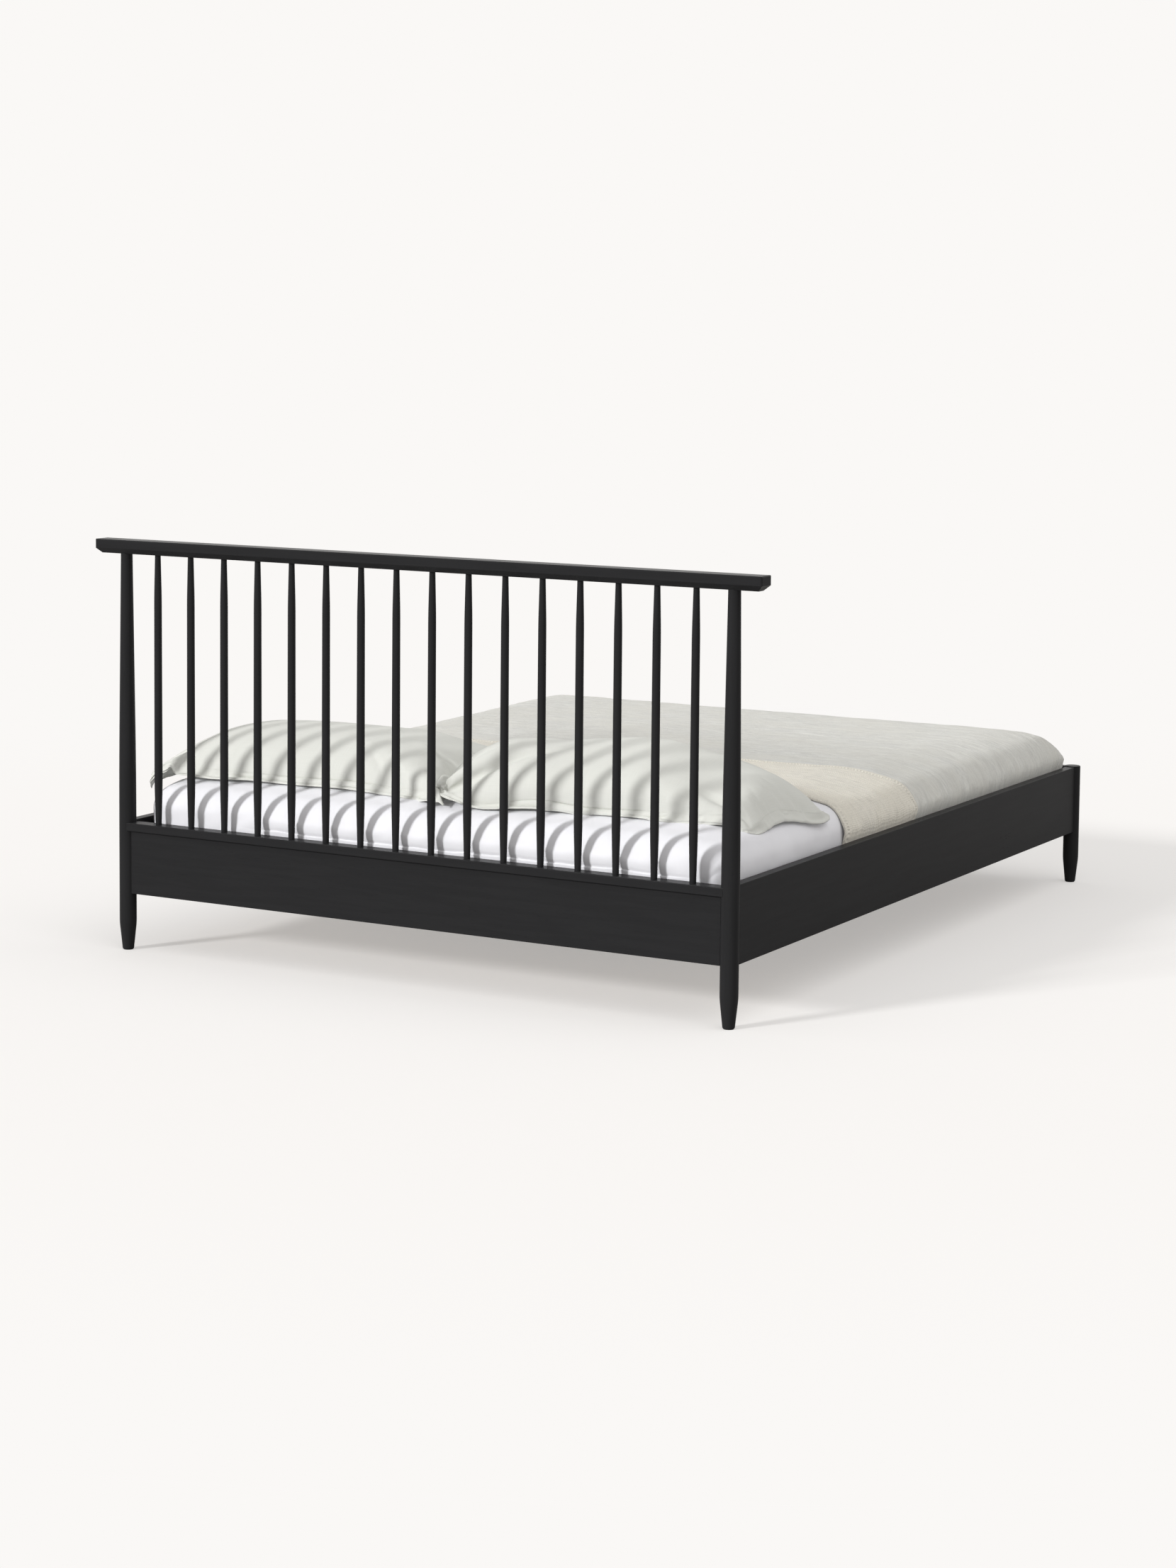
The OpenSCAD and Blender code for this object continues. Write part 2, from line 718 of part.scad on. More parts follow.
// A line down one side of the bed, round its foot and back up the other side.
turn_step = 2;
side_y = let (y0 = coverlet_head_y - mid_y, y1 = y0 - turn_back_l)
    [y0, (y0 + y1) / 2, y1, y1 - turn_step, (y1 - mattress_l / 2 + mattress_corner_r) / 2];
function foot_run(inset, grow) =
    let (w = mattress_w / 2 + grow - inset, l = mattress_l / 2 + grow - inset,
         r = min(max(mattress_corner_r + grow - inset * 0.5, 8), w - 1))
    concat([for (y = side_y) [-w, y]],
           corner_arc(r - w, r - l, r, 180), corner_arc(w - r, r - l, r, 270),
           [for (i = [len(side_y) - 1:-1:0]) [w, side_y[i]]]);
coverlet_n = len(foot_run(0, 0));

// One skin of the coverlet: its columns follow foot_run, and its end is raised where it is turned back.
function coverlet_rows(grow) = concat([[0, coverlet_hem_z]], top_profile(grow));
function turned_back(j) = min(j, coverlet_n - 1 - j) < 3;
function coverlet_skin(grow, raise) = [for (k = [0:len(coverlet_rows(0)) - 1], j = [0:coverlet_n - 1])
    let (g = grow + (turned_back(j) ? raise : 0), p = coverlet_rows(g)[k], q = foot_run(p[0], g)[j])
    [q[0], q[1] + mid_y, p[1]]];

// The coverlet has an outer skin and an inner one, joined along its hem and its head edge.
module coverlet() {
    n = coverlet_n;
    rows = len(coverlet_rows(0));
    half_n = n / 2;
    skin = rows * n;
    top = (rows - 1) * n;
    color(gauze)
    polyhedron(
        concat(coverlet_skin(coverlet_out, turn_back_t), coverlet_skin(coverlet_in, 0)),
        concat(
            [for (k = [0:rows - 2], j = [0:n - 2], t = [0, 1])
                let (a = k * n + j, b = a + 1, c = a + n, d = c + 1) t == 0 ? [a, b, c] : [b, d, c]],
            [for (k = [0:rows - 2], j = [0:n - 2], t = [0, 1])
                let (a = skin + k * n + j, b = a + 1, c = a + n, d = c + 1) t == 0 ? [a, c, b] : [b, c, d]],
            [for (j = [0:n - 2], t = [0, 1]) t == 0 ? [j, skin + j, j + 1] : [j + 1, skin + j, skin + j + 1]],
            [for (k = [0:rows - 2], t = [0, 1]) let (a = k * n, b = a + n)
                t == 0 ? [a, b, skin + a] : [b, skin + b, skin + a]],
            [for (k = [0:rows - 2], t = [0, 1]) let (a = k * n + n - 1, b = a + n)
                t == 0 ? [a, skin + a, b] : [b, skin + a, skin + b]],
            [for (j = [0:half_n - 2], t = [0, 1]) let (a = top + j, b = top + n - 1 - j)
                t == 0 ? [a, a + 1, b] : [a + 1, b - 1, b]],
            [for (j = [0:half_n - 2], t = [0, 1]) let (a = skin + top + j, b = skin + top + n - 1 - j)
                t == 0 ? [a, b, a + 1] : [a + 1, b, b - 1]],
            [[top, top + n - 1, skin + top], [top + n - 1, skin + top + n - 1, skin + top]]));
}

// One ring of a pillow, some way in from its outline: four sides that draw in between round corners.
side_points = 6;
function pillow_side(a, b) = [for (i = [1:side_points]) a + (b - a) * i / (side_points + 1)];
function pillow_outline(w, l, r) =
    let (arcs = [corner_arc(w / 2 - r, l / 2 - r, r, 0), corner_arc(r - w / 2, l / 2 - r, r, 90),
                 corner_arc(r - w / 2, r - l / 2, r, 180), corner_arc(w / 2 - r, r - l / 2, r, 270)])
    [for (k = [0:3]) each concat(arcs[k], pillow_side(arcs[k][arc_n], arcs[(k + 1) % 4][0]))];
function pillow_ring(inset, z) =
    let (w = pillow_l - 2 * inset, l = pillow_w - 2 * inset, reach = pillow_w / 2,
         d = pillow_draw_in * (1 - inset / reach))
    [for (p = pillow_outline(w, l, pillow_corner_r * (1 - inset / reach) + 1))
        let (u = 2 * p[0] / w, v = 2 * p[1] / l)
        [p[0] - d * u * (1 - v * v), p[1] - d * v * (1 - u * u), z]];

// How full a pillow is, from 1 in the middle to 0 at the seam inside its border.
function fullness(t) = pow(max(0, 1 - pow(abs(t), 2.4)), 0.75);
function pillow_rise(x, y) =
    (pillow_h - pillow_border_z - pillow_seam_t)
    * fullness(x / (pillow_l / 2 - pillow_border)) * fullness(y / (pillow_w / 2 - pillow_border));
function domed(ring) = [for (p = ring) [p[0], p[1], p[2] + pillow_rise(p[0], p[1])]];

// A stuffed pillow in a case with a flat border, resting on its own underside.
module pillow(side) {
    steps = 9;
    belly = pillow_w / 2 - pillow_border;
    border_top = pillow_border_z + pillow_seam_t;
    under = [[pillow_border + 0.3 * belly, 0], [pillow_border, 0.6 * pillow_border_z],
             [0, pillow_border_z], [0, border_top]];
    over = [for (i = [0:steps]) pillow_border + 0.97 * belly * i / steps];
    color(stone_linen)
    translate([side * pillow_x, pillow_y, pillow_z])
        loft(concat([for (p = under) pillow_ring(p[0], p[1])],
                    [for (inset = over) domed(pillow_ring(inset, border_top))]));
}

head_post(1);  // head_post_left
head_post(-1);  // head_post_right
foot_post(1);  // foot_post_left
foot_post(-1);  // foot_post_right
crest_rail();
cap_rail();
head_panel();
foot_rail();
side_rail(1);  // side_rail_left
side_rail(-1);  // side_rail_right
ledger(1);  // ledger_left
ledger(-1);  // ledger_right
centre_beam();
centre_leg(1);  // centre_leg_head
centre_leg(-1);  // centre_leg_foot
slat_webbing();
at_head_shoe() beam_shoe();  // beam_shoe_head
at_foot_shoe() beam_shoe();  // beam_shoe_foot
rail_studs();
stud_nuts();
crescent_washers();
rail_dowels();
ledger_screws();
shoe_screws();
leg_hanger_bolts();
mattress();
fitted_sheet();
coverlet();
pillow(1);  // pillow_left
pillow(-1);  // pillow_right
for (i = [1:spindle_count]) spindle(i);
for (i = [1:slat_count]) slat(i);
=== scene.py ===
import json
import math

import bmesh
import bpy
import numpy as np
from bpy.props import FloatProperty, FloatVectorProperty, PointerProperty
from mathutils import Matrix, Vector

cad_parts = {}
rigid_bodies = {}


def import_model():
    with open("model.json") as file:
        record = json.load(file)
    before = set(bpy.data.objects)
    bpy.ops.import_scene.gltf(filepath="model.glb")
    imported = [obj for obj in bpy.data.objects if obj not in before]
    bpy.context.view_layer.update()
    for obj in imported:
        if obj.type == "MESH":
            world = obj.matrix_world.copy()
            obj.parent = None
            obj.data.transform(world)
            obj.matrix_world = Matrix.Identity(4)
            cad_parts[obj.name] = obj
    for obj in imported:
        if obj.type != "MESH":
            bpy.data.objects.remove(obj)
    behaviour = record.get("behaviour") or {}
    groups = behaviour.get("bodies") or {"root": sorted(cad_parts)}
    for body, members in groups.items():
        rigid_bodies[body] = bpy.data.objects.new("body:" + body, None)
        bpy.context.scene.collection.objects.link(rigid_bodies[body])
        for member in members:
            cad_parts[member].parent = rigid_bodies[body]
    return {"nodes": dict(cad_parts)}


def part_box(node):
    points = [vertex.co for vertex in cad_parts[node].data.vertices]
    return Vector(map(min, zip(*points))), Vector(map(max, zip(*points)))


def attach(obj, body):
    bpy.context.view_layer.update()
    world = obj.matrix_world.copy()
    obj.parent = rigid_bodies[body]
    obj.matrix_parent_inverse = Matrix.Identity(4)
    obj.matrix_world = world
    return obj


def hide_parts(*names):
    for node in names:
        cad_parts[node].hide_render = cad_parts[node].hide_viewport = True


bl_info = {
    "name": "Spindle-back double bed",
    "version": (1, 0, 0),
    "blender": (4, 5, 0),
    "location": "3D View > Sidebar > Bed",
    "description": "Dresses the packed bed with its stained wood, steel, mattress and bedding",
    "category": "Object",
}

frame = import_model()
NODES = frame["nodes"]

# The photograph's frame, in pixels, and the camera that took it
PHOTO_W, PHOTO_H = 1659, 2212
FOCAL_PX = 4700.63
CENTRE_PX = (691.371, 856.252)
CAMERA_AT = (-4.0151, 7.5776, 1.6634)
CAMERA_YAW, CAMERA_PITCH, CAMERA_ROLL = (math.radians(a) for a in (30.3185, 5.7499, 0.3838))

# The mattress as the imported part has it, and the top of the rails round it
MATTRESS_LOW, MATTRESS_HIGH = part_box("mattress")
MID_Y = (MATTRESS_LOW.y + MATTRESS_HIGH.y) / 2
HALF_W = (MATTRESS_HIGH.x - MATTRESS_LOW.x) / 2
HALF_L = (MATTRESS_HIGH.y - MATTRESS_LOW.y) / 2
CROWN = 0.036
CORNER_R = 0.085
EDGE_R = 0.045
TOP_Z = MATTRESS_HIGH.z - CROWN
CORE_X, CORE_Y = HALF_W - CORNER_R, HALF_L - CORNER_R
RAIL_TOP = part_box("side_rail_left")[1].z

# The top rises over CROWN_RUN from its edges. That gets shorter between two places along the bed, and the
# foot's corners go from round to nearly square, by the power of their curve, between two depths.
CROWN_RUN = 0.21
FOOT_FULLNESS, FULLER_Y = 0.33, (0.3, -1.0)
FOOT_CORNER_POWERS, FOOT_CORNER_DEPTHS = (3, 14), (0.015, 0.072)

# The share of the edge's radius, past the flat top, that a pillow can lie on
EDGE_SHARE = 0.94


def linear(colour):
    """The linear values of an sRGB colour given as #RRGGBB."""
    parts = [int(colour[i:i + 2], 16) / 255 for i in (1, 3, 5)]
    return tuple(c / 12.92 if c <= 0.04045 else ((c + 0.055) / 1.055) ** 2.4 for c in parts)


def times(values, factor):
    """Three values times one factor, or each times its own."""
    return tuple(np.multiply(tuple(values), factor).tolist())


# Node trees

def math_node(operation, turned=False):
    """A method of Num that adds one Math node. Turned, it puts the other value first."""
    def method(self, *others):
        values = (*others, self) if turned else (self, *others)
        return self.graph.add("ShaderNodeMath", dict(enumerate(values)), operation=operation)
    return method


class Num:
    """A socket in a node tree. Arithmetic on it adds Math nodes to the tree."""

    __add__, __radd__ = math_node("ADD"), math_node("ADD", turned=True)
    __sub__, __rsub__ = math_node("SUBTRACT"), math_node("SUBTRACT", turned=True)
    __mul__, __pow__ = math_node("MULTIPLY"), math_node("POWER")
    sine, absolute = math_node("SINE"), math_node("ABSOLUTE")
    most, least = math_node("MAXIMUM"), math_node("MINIMUM")

    def __init__(self, graph, socket):
        self.graph, self.socket = graph, socket

    def ripple(self):
        """Its sine, brought between 0 and 1."""
        return self.sine() * 0.5 + 0.5

    def other(self, name):
        """Another output of the same node."""
        return Num(self.graph, self.socket.node.outputs[name])


class Graph:
    """A node tree that is filled one node at a time."""

    def __init__(self, tree, material=None):
        self.tree, self.material = tree, material
        tree.nodes.clear()

    def add(self, kind, sockets=None, out=0, **settings):
        """Adds a node, sets its settings first, then its sockets by name or index, and wraps one output."""
        node = self.tree.nodes.new(kind)
        for name, value in settings.items():
            setattr(node, name, value)
        for name, value in (sockets or {}).items():
            socket = node.inputs[name]
            if isinstance(value, Num):
                self.tree.links.new(value.socket, socket)
            elif socket.type == "RGBA" and len(value) == 3:
                socket.default_value = (*value, 1)
            else:
                socket.default_value = value
        return Num(self, node.outputs[out]) if len(node.outputs) else None

    def place(self, output="Object"):
        return self.add("ShaderNodeTexCoord", out=output)

    def scaled(self, vector, scale):
        return self.add("ShaderNodeMapping", {"Vector": vector, "Scale": scale})

    def noise(self, vector, scale=1.0, detail=2.0, roughness=0.5, distortion=0.0):
        return self.add("ShaderNodeTexNoise", {"Vector": vector, "Scale": scale, "Detail": detail,
                                               "Roughness": roughness, "Distortion": distortion},
                        noise_dimensions="3D")

    def drawn_noise(self, vector, scales, *settings):
        """Noise with its own scale along each axis, drawn out where that is small."""
        return self.noise(self.scaled(vector, scales), 1.0, *settings)

    def ranged(self, value, low, high):
        """Eases from 0 at low to 1 at high."""
        return self.add("ShaderNodeMapRange", {"Value": value, "From Min": low, "From Max": high},
                        interpolation_type="SMOOTHSTEP")

    def mixed(self, factor, first, second):
        return self.add("ShaderNodeMix", {0: factor, 6: first, 7: second}, out=2, data_type="RGBA")

    def parts(self, vector):
        node = self.add("ShaderNodeSeparateXYZ", {0: vector}).socket.node
        return [Num(self, socket) for socket in node.outputs]

    def bump(self, height, distance, strength=1.0, normal=None):
        sockets = {"Height": height, "Distance": distance, "Strength": strength}
        return self.add("ShaderNodeBump", sockets | ({"Normal": normal} if normal else {}))

    def surface(self, **sockets):
        """Ends the tree in one Principled shader and returns its material."""
        named = {name.replace("_", " "): value for name, value in sockets.items()}
        shader = self.add("ShaderNodeBsdfPrincipled", named)
        self.add("ShaderNodeOutputMaterial", {"Surface": shader})
        return self.material


def new_material(name):
    material = bpy.data.materials.new(name)
    material.use_nodes = True
    return Graph(material.node_tree, material)


# Materials. Rates of yarns, crinkles and quilting are in radians for each metre.

GRAIN_STRETCH = {"X": (1.0, 14.0, 14.0), "Y": (14.0, 1.0, 14.0), "Z": (14.0, 14.0, 1.0)}
LATE_WOOD = (0.74, 0.62, 0.45)
KNOT = (0.10, 0.045, 0.018)
QUILT_RATE = 52.0
CRINKLE_RATE, PUCKER_RATE, RING_RATE = 520.0, 760.0, 34.0


def plain_weave(u, v, rate):
    return (u * rate).sine() * (v * rate).sine()


def stained_wood(along, look):
    """Satin black stain over close-grained wood, its grain along one axis."""
    g = new_material(f"stained_wood_{along.lower()}")
    place, stretch = g.place(), GRAIN_STRETCH[along]
    figure = g.noise(g.scaled(place, stretch), 5.0, 4.0, 0.55, 0.4)
    pores = g.noise(g.scaled(place, times(stretch, 4)), 14.0, 3.0, 0.6)
    handling = g.noise(place, 3.0, 2.0)
    colour = g.mixed(g.ranged(figure, 0.35, 0.65), times(look.stain, 1 - look.grain_contrast),
                     times(look.stain, 1 + look.grain_contrast))
    colour = g.mixed(g.ranged(pores, 0.58, 0.72) * 0.35, colour, times(look.stain, 0.55))
    rough = look.wood_roughness + (handling - 0.5) * 0.08 + (pores - 0.5) * 0.08
    return g.surface(
        Base_Color=colour, Roughness=rough, Normal=g.bump(figure * 0.4 + pores * 0.6, 0.00008, 0.45),
        Specular_IOR_Level=0.035)


def bare_wood(name, colour, along, ring_rate, knots=False):
    """Planed pale wood with growth rings, and knots where the timber has them."""
    g = new_material(name)
    place, stretch = g.place(), GRAIN_STRETCH[along]
    warp = g.noise(g.scaled(place, tuple(s * 0.5 if s > 1 else 0.35 for s in stretch)), 2.2, 3.0, 0.5)
    rings = (warp * ring_rate).ripple()
    fibres = g.noise(g.scaled(place, times(stretch, 3)), 16.0, 3.0, 0.65)
    tone = g.mixed(g.ranged(rings, 0.45, 1.0) * 0.55, colour, times(colour, LATE_WOOD))
    tone = g.mixed(g.ranged(fibres, 0.3, 0.7) * 0.25, tone, times(colour, 0.85))
    if knots:
        cells = g.add("ShaderNodeTexVoronoi", {"Vector": g.scaled(place, (2.6, 7.0, 7.0)), "Scale": 1.0,
                                               "Randomness": 1.0}, feature="F1")
        tone = g.mixed(g.ranged(cells, 0.13, 0.05), tone, KNOT)
    return g.surface(
        Base_Color=tone, Roughness=0.55 + (fibres - 0.5) * 0.2,
        Normal=g.bump(rings * 0.3 + fibres * 0.7, 0.00015, 0.6), Specular_IOR_Level=0.35)


def zinc_plate():
    """Bright zinc on steel, with the faint clouding of the plating bath."""
    g = new_material("zinc_steel")
    place = g.place()
    cloud = g.noise(place, 60.0, 3.0)
    scratch = g.drawn_noise(place, (900, 40, 900))
    return g.surface(
        Base_Color=g.mixed(cloud, (0.42, 0.43, 0.46), (0.60, 0.60, 0.58)), Metallic=1.0,
        Roughness=0.26 + cloud * 0.16 + scratch * 0.06, Normal=g.bump(scratch, 0.00005, 0.4))


def woven_strap():
    """Black webbing: a herringbone of flat yarns along the strap, with painted shade between the yarns and
    painted sheen on their raised parts.
    """
    g = new_material("webbing")
    x, y, _ = g.parts(g.place())
    rib_rate, cross_rate = 2600.0, 3200.0
    rib = (y * rib_rate + (x * rib_rate).sine() * 1.2).sine()
    weave = rib * 0.6 + (x * cross_rate).sine() * 0.4
    # Painted shade and sheen: the colour is darker where the weave sinks and lighter where its yarns rise
    colour = g.mixed(g.ranged(weave, -0.8, 0.8), (0.018, 0.018, 0.019), (0.075, 0.075, 0.078))
    return g.surface(
        Base_Color=colour, Roughness=0.82, Normal=g.bump(weave, 0.0004, 0.8), Specular_IOR_Level=0.25)


def percale(look):
    """Fine white cotton with its plain weave, and a little waviness from the wash."""
    g = new_material("white_sheet")
    place = g.place()
    u, v, _ = g.parts(g.place("UV"))
    soft = g.noise(place, 9.0, 3.0, 0.5)
    crease = g.noise(g.scaled(place, (6.0, 2.2, 4.0)), 3.0, 3.0, 0.55, 0.8)
    colour = g.mixed(g.ranged(soft, 0.3, 0.7), look.sheet, times(look.sheet, 0.975))
    washed = g.bump(crease * 0.6 + soft * 0.4, 0.006, 0.25)
    return g.surface(
        Base_Color=colour, Roughness=0.78, Specular_IOR_Level=0.2, Sheen_Weight=0.08, Sheen_Roughness=0.5,
        Normal=g.bump(plain_weave(u, v, rate=5200.0), 0.00008, 0.25, washed))


def crinkled_gauze(name, colour, square, seams):
    """Double gauze: crinkles that run across the bed, fine open weave, and puckers along its sewn seams. Its
    colour carries painted shade in their hollows, painted light on their crests, and painted crinkle shadows.
    """
    g = new_material(name)
    uv = g.place("UV")
    u, v, _ = g.parts(uv)
    wander = g.drawn_noise(uv, (3.2, 13.0, 1.0), 3.0, 0.6)
    broken = g.ranged(g.drawn_noise(uv, (9.0, 17.0, 1.0)), 0.4, 0.62)
    lines = (v * CRINKLE_RATE + wander * 70.0).ripple() ** 1.5 * (0.25 + broken * 0.75)
    streaks = g.drawn_noise(uv, (17.0, 74.0, 1.0), 3.0, 0.66, 0.3)
    fine = g.drawn_noise(uv, (120.0, 330.0, 1.0), 3.0, 0.65, 0.5)
    cells = (u * 1050.0 + wander * 9.0).ripple() * (v * 640.0 + wander * 26.0).ripple()
    # Short dark dashes across the cloth, painted as the shadows of its crinkles
    painted_crinkle_shadows = g.ranged(g.drawn_noise(uv, (24.0, 92.0, 1.0), 2.0, 0.6, 0.4), 0.57, 0.7)
    height = lines * (0.16 - 0.1 * square) + streaks * 0.5 + fine * 0.4 + cells * (0.3 * square)
    for middle, width in seams:
        near = g.ranged((v - middle).absolute(), width, 0.2 * width)
        pucker = (u * PUCKER_RATE + wander * 12.0).ripple()
        height = height * (1 - near * 0.6) + near * pucker * 0.6
    patch = g.drawn_noise(uv, (4.0, 7.0, 1.0), 3.0)
    # Painted shade and light: the colour is darker in the hollows of the crinkles, waffle and puckers, and
    # lighter on their crests
    painted_shade_colour = g.mixed(g.ranged(height, 0.36, 0.62), times(colour, 0.86), times(colour, 1.04))
    painted_shade_colour = g.mixed(painted_crinkle_shadows * 0.8, painted_shade_colour, times(colour, 0.8))
    painted_shade_colour = g.mixed(g.ranged(patch, 0.3, 0.7) * 0.5, painted_shade_colour, times(colour, (0.98, 0.965, 0.93)))
    crinkled = g.bump(height, 0.0045, 0.8)
    return g.surface(
        Base_Color=painted_shade_colour, Roughness=0.9, Specular_IOR_Level=0.15, Sheen_Weight=0.15, Sheen_Roughness=0.6,
        Normal=g.bump(plain_weave(u, v, rate=2600.0), 0.0002, 0.3, crinkled))


def washed_linen(look):
    """Soft stone-coloured linen with slubs in its yarns."""
    g = new_material("stone_linen")
    uv = g.place("UV")
    u, v, _ = g.parts(uv)
    yarn = g.drawn_noise(uv, (18.0, 520.0, 1.0)) * 0.5 + g.drawn_noise(uv, (520.0, 18.0, 1.0)) * 0.5
    weave = plain_weave(u, v, rate=3600.0) * 0.5 + 0.5
    soft = g.noise(g.place(), 12.0, 3.0, 0.55)
    colour = g.mixed(g.ranged(yarn, 0.38, 0.62), times(look.pillow, 0.97), tuple(look.pillow))
    return g.surface(
        Base_Color=colour, Roughness=0.85,
        Normal=g.bump(weave * 0.5 + yarn, 0.0002, 0.25, g.bump(soft, 0.004, 0.2)), Specular_IOR_Level=0.18,
        Sheen_Weight=0.12, Sheen_Roughness=0.55)


def ticking(look):
    """The mattress's knitted cover, quilted in a small lattice, with shade painted along the lattice's sunk
    lines.
    """
    g = new_material("mattress_ticking")
    x, y, z = g.parts(g.place())
    lattice = ((x + y) * QUILT_RATE).sine().absolute().least(((x - y) * QUILT_RATE).sine().absolute())
    rate = 2500.0
    knit = (x * rate).sine() * (y * rate + z * rate).sine()
    quilted = g.bump(g.ranged(lattice, 0.0, 0.5), 0.004, 0.7)
    # Painted shade: the colour is darker along the quilting's sunk lines
    return g.surface(
        Base_Color=g.mixed(g.ranged(lattice, 0.0, 0.12), times(look.sheet, 0.86), look.sheet), Roughness=0.85,
        Normal=g.bump(knit, 0.0002, 0.3, quilted), Specular_IOR_Level=0.2)


def thread(name, colour):
    """Sewing thread, twisted along its length, with shade painted in the grooves of its twist."""
    g = new_material(name)
    x, y, z = g.parts(g.place())
    twist_rate = 9000.0
    twist = ((x + y + z) * twist_rate).sine()
    # Painted shade: the colour is darker in the grooves of the twist
    return g.surface(
        Base_Color=g.mixed(g.ranged(twist, -1.0, 1.0), times(colour, 0.8), colour), Roughness=0.8,
        Normal=g.bump(twist, 0.0001, 0.4), Specular_IOR_Level=0.2)


# Meshes

def link_object(name, data):
    obj = bpy.data.objects.new(name, data)
    bpy.context.scene.collection.objects.link(obj)
    return obj


def quads(index, order=(0, 1, 2, 3)):
    """The faces of a grid of vertex numbers, each with its corners in the given order."""
    corners = (index[:-1, :-1], index[:-1, 1:], index[1:, 1:], index[1:, :-1])
    return np.stack([corners[k] for k in order], -1).reshape(-1, 4)


def add_uv(mesh, faces, flat):
    """Gives each corner of each face its vertex's place on the flat cloth."""
    layer = mesh.uv_layers.new(name="UVMap")
    layer.data.foreach_set("uv", flat[faces.ravel()].ravel())


def grid_mesh(name, points, uv):
    """A mesh from a grid of points, rows by columns by 3, with its UV map."""
    faces = quads(np.arange(points[..., 0].size).reshape(points.shape[:2]))
    mesh = bpy.data.meshes.new(name)
    mesh.from_pydata(points.reshape(-1, 3).tolist(), [], faces.tolist())
    add_uv(mesh, faces, uv.reshape(-1, 2))
    mesh.shade_smooth()
    return mesh


def smoothstep(low, high, x):
    """Eases from 0 at low to 1 at high; low may be the larger of the two."""
    t = np.clip((x - low) / (high - low), 0, 1)
    return t * t * (3 - 2 * t)


def bell(x, middle, width):
    """1 at the middle, falling off to about a third at the width."""
    return np.exp(-((x - middle) / width) ** 2)


def waves(u, v, seed, size, octaves=3):
    """Smooth seeded noise, mostly from -1 to 1, as a sum of sines at several sizes and angles."""
    sines, fall, unit = 5, 0.55, 0.45
    rng = np.random.default_rng(seed)
    total, weight = np.zeros_like(u), 0.0
    for octave in range(octaves):
        share = fall ** octave
        for _ in range(sines):
            angle = rng.uniform(0, math.pi)
            k = 2 * math.pi / (size / 2 ** octave * rng.uniform(0.75, 1.35))
            phase = rng.uniform(0, 6.28)
            total += np.sin(k * (u * math.cos(angle) + v * math.sin(angle)) + phase) * share
        weight += sines * share
    return total / (unit * weight)


def crown(px, py):
    """How far the mattress's top rises above its edge. It stays full nearer to the edge towards the foot."""
    run_x = CROWN_RUN * (1 - FOOT_FULLNESS * smoothstep(*FULLER_Y, py))
    short_x, short_y = (1 - np.sin(np.clip((half - np.abs(p)) / run, 0, 1) * math.pi / 2)
                        for half, p, run in ((HALF_W, px, run_x), (HALF_L, py, CROWN_RUN)))
    return CROWN * np.maximum(1 - np.hypot(short_x, short_y), 0)


def laid_over(x, y, grow):
    """Where flat cloth at (x, y) from the bed's middle lies, on top or down a side, grow off the mattress."""
    over_x, over_y = np.maximum(np.abs(x) - CORE_X, 0), np.maximum(np.abs(y) - CORE_Y, 0)
    far, near = np.maximum(over_x, over_y), np.minimum(over_x, over_y)
    turn = (math.pi / 4) * near / np.maximum(far, 1e-9)
    turn = np.where(over_y > over_x, math.pi / 2 - turn, turn)
    edge = EDGE_R + grow
    flat = CORNER_R - EDGE_R
    phi = np.clip((far - flat) / edge, 0, math.pi / 2)
    reach = np.where(far < flat, far, flat + edge * np.sin(phi))
    drop = edge * (1 - np.cos(phi)) + np.maximum(far - flat - edge * math.pi / 2, 0)
    top, low = (1 / power for power in FOOT_CORNER_POWERS)
    square = np.where(y < 0, top + (low - top) * smoothstep(*FOOT_CORNER_DEPTHS, drop), 0.5)
    reach = reach / (np.cos(turn) ** (1 / square) + np.sin(turn) ** (1 / square)) ** square
    px = np.sign(x) * (np.minimum(np.abs(x), CORE_X) + reach * np.cos(turn))
    py = np.sign(y) * (np.minimum(np.abs(y), CORE_Y) + reach * np.sin(turn))
    pz = TOP_Z + grow - drop + crown(px, py)
    return np.stack([px, py + MID_Y, pz], -1)


def bed_height(px, py):
    """Height of the mattress's top and of its rounded edge at a place."""
    past_x = np.maximum(np.abs(px) - HALF_W + EDGE_R, 0)
    past_y = np.maximum(np.abs(py - MID_Y) - HALF_L + EDGE_R, 0)
    past = np.minimum(np.hypot(past_x, past_y), EDGE_SHARE * EDGE_R)
    return TOP_Z - EDGE_R + np.sqrt(EDGE_R ** 2 - past ** 2) + crown(px, py - MID_Y)


def flat_reach(hem_z):
    """How far cloth reaches past the core of the mattress, over the edge and down to hem_z."""
    return (CORNER_R - EDGE_R) + EDGE_R * math.pi / 2 + (TOP_Z - EDGE_R - hem_z)


def steps(start, stop, size):
    return np.linspace(start, stop, max(2, int(round(abs(stop - start) / size)) + 1))


def across(core, hem, coarse=0.014, fine=0.006):
    """Flat positions from hem to hem, closer together round the edges to just below the rails' top."""
    bend = core + flat_reach(RAIL_TOP - 0.008)
    side = np.unique(np.concatenate([steps(core, bend, fine), steps(bend, core + hem, coarse)]))
    return np.concatenate([-side[::-1], steps(-core, core, coarse)[1:-1], side])


def grid_normals(points):
    normal = np.cross(np.gradient(points, axis=1), np.gradient(points, axis=0))
    return normal / np.maximum(np.linalg.norm(normal, axis=-1, keepdims=True), 1e-12)


def read_points(mesh):
    points = np.zeros(len(mesh.vertices) * 3)
    mesh.vertices.foreach_get("co", points)
    return points.reshape(-1, 3)


def write_points(mesh, points):
    mesh.vertices.foreach_set("co", points.ravel())


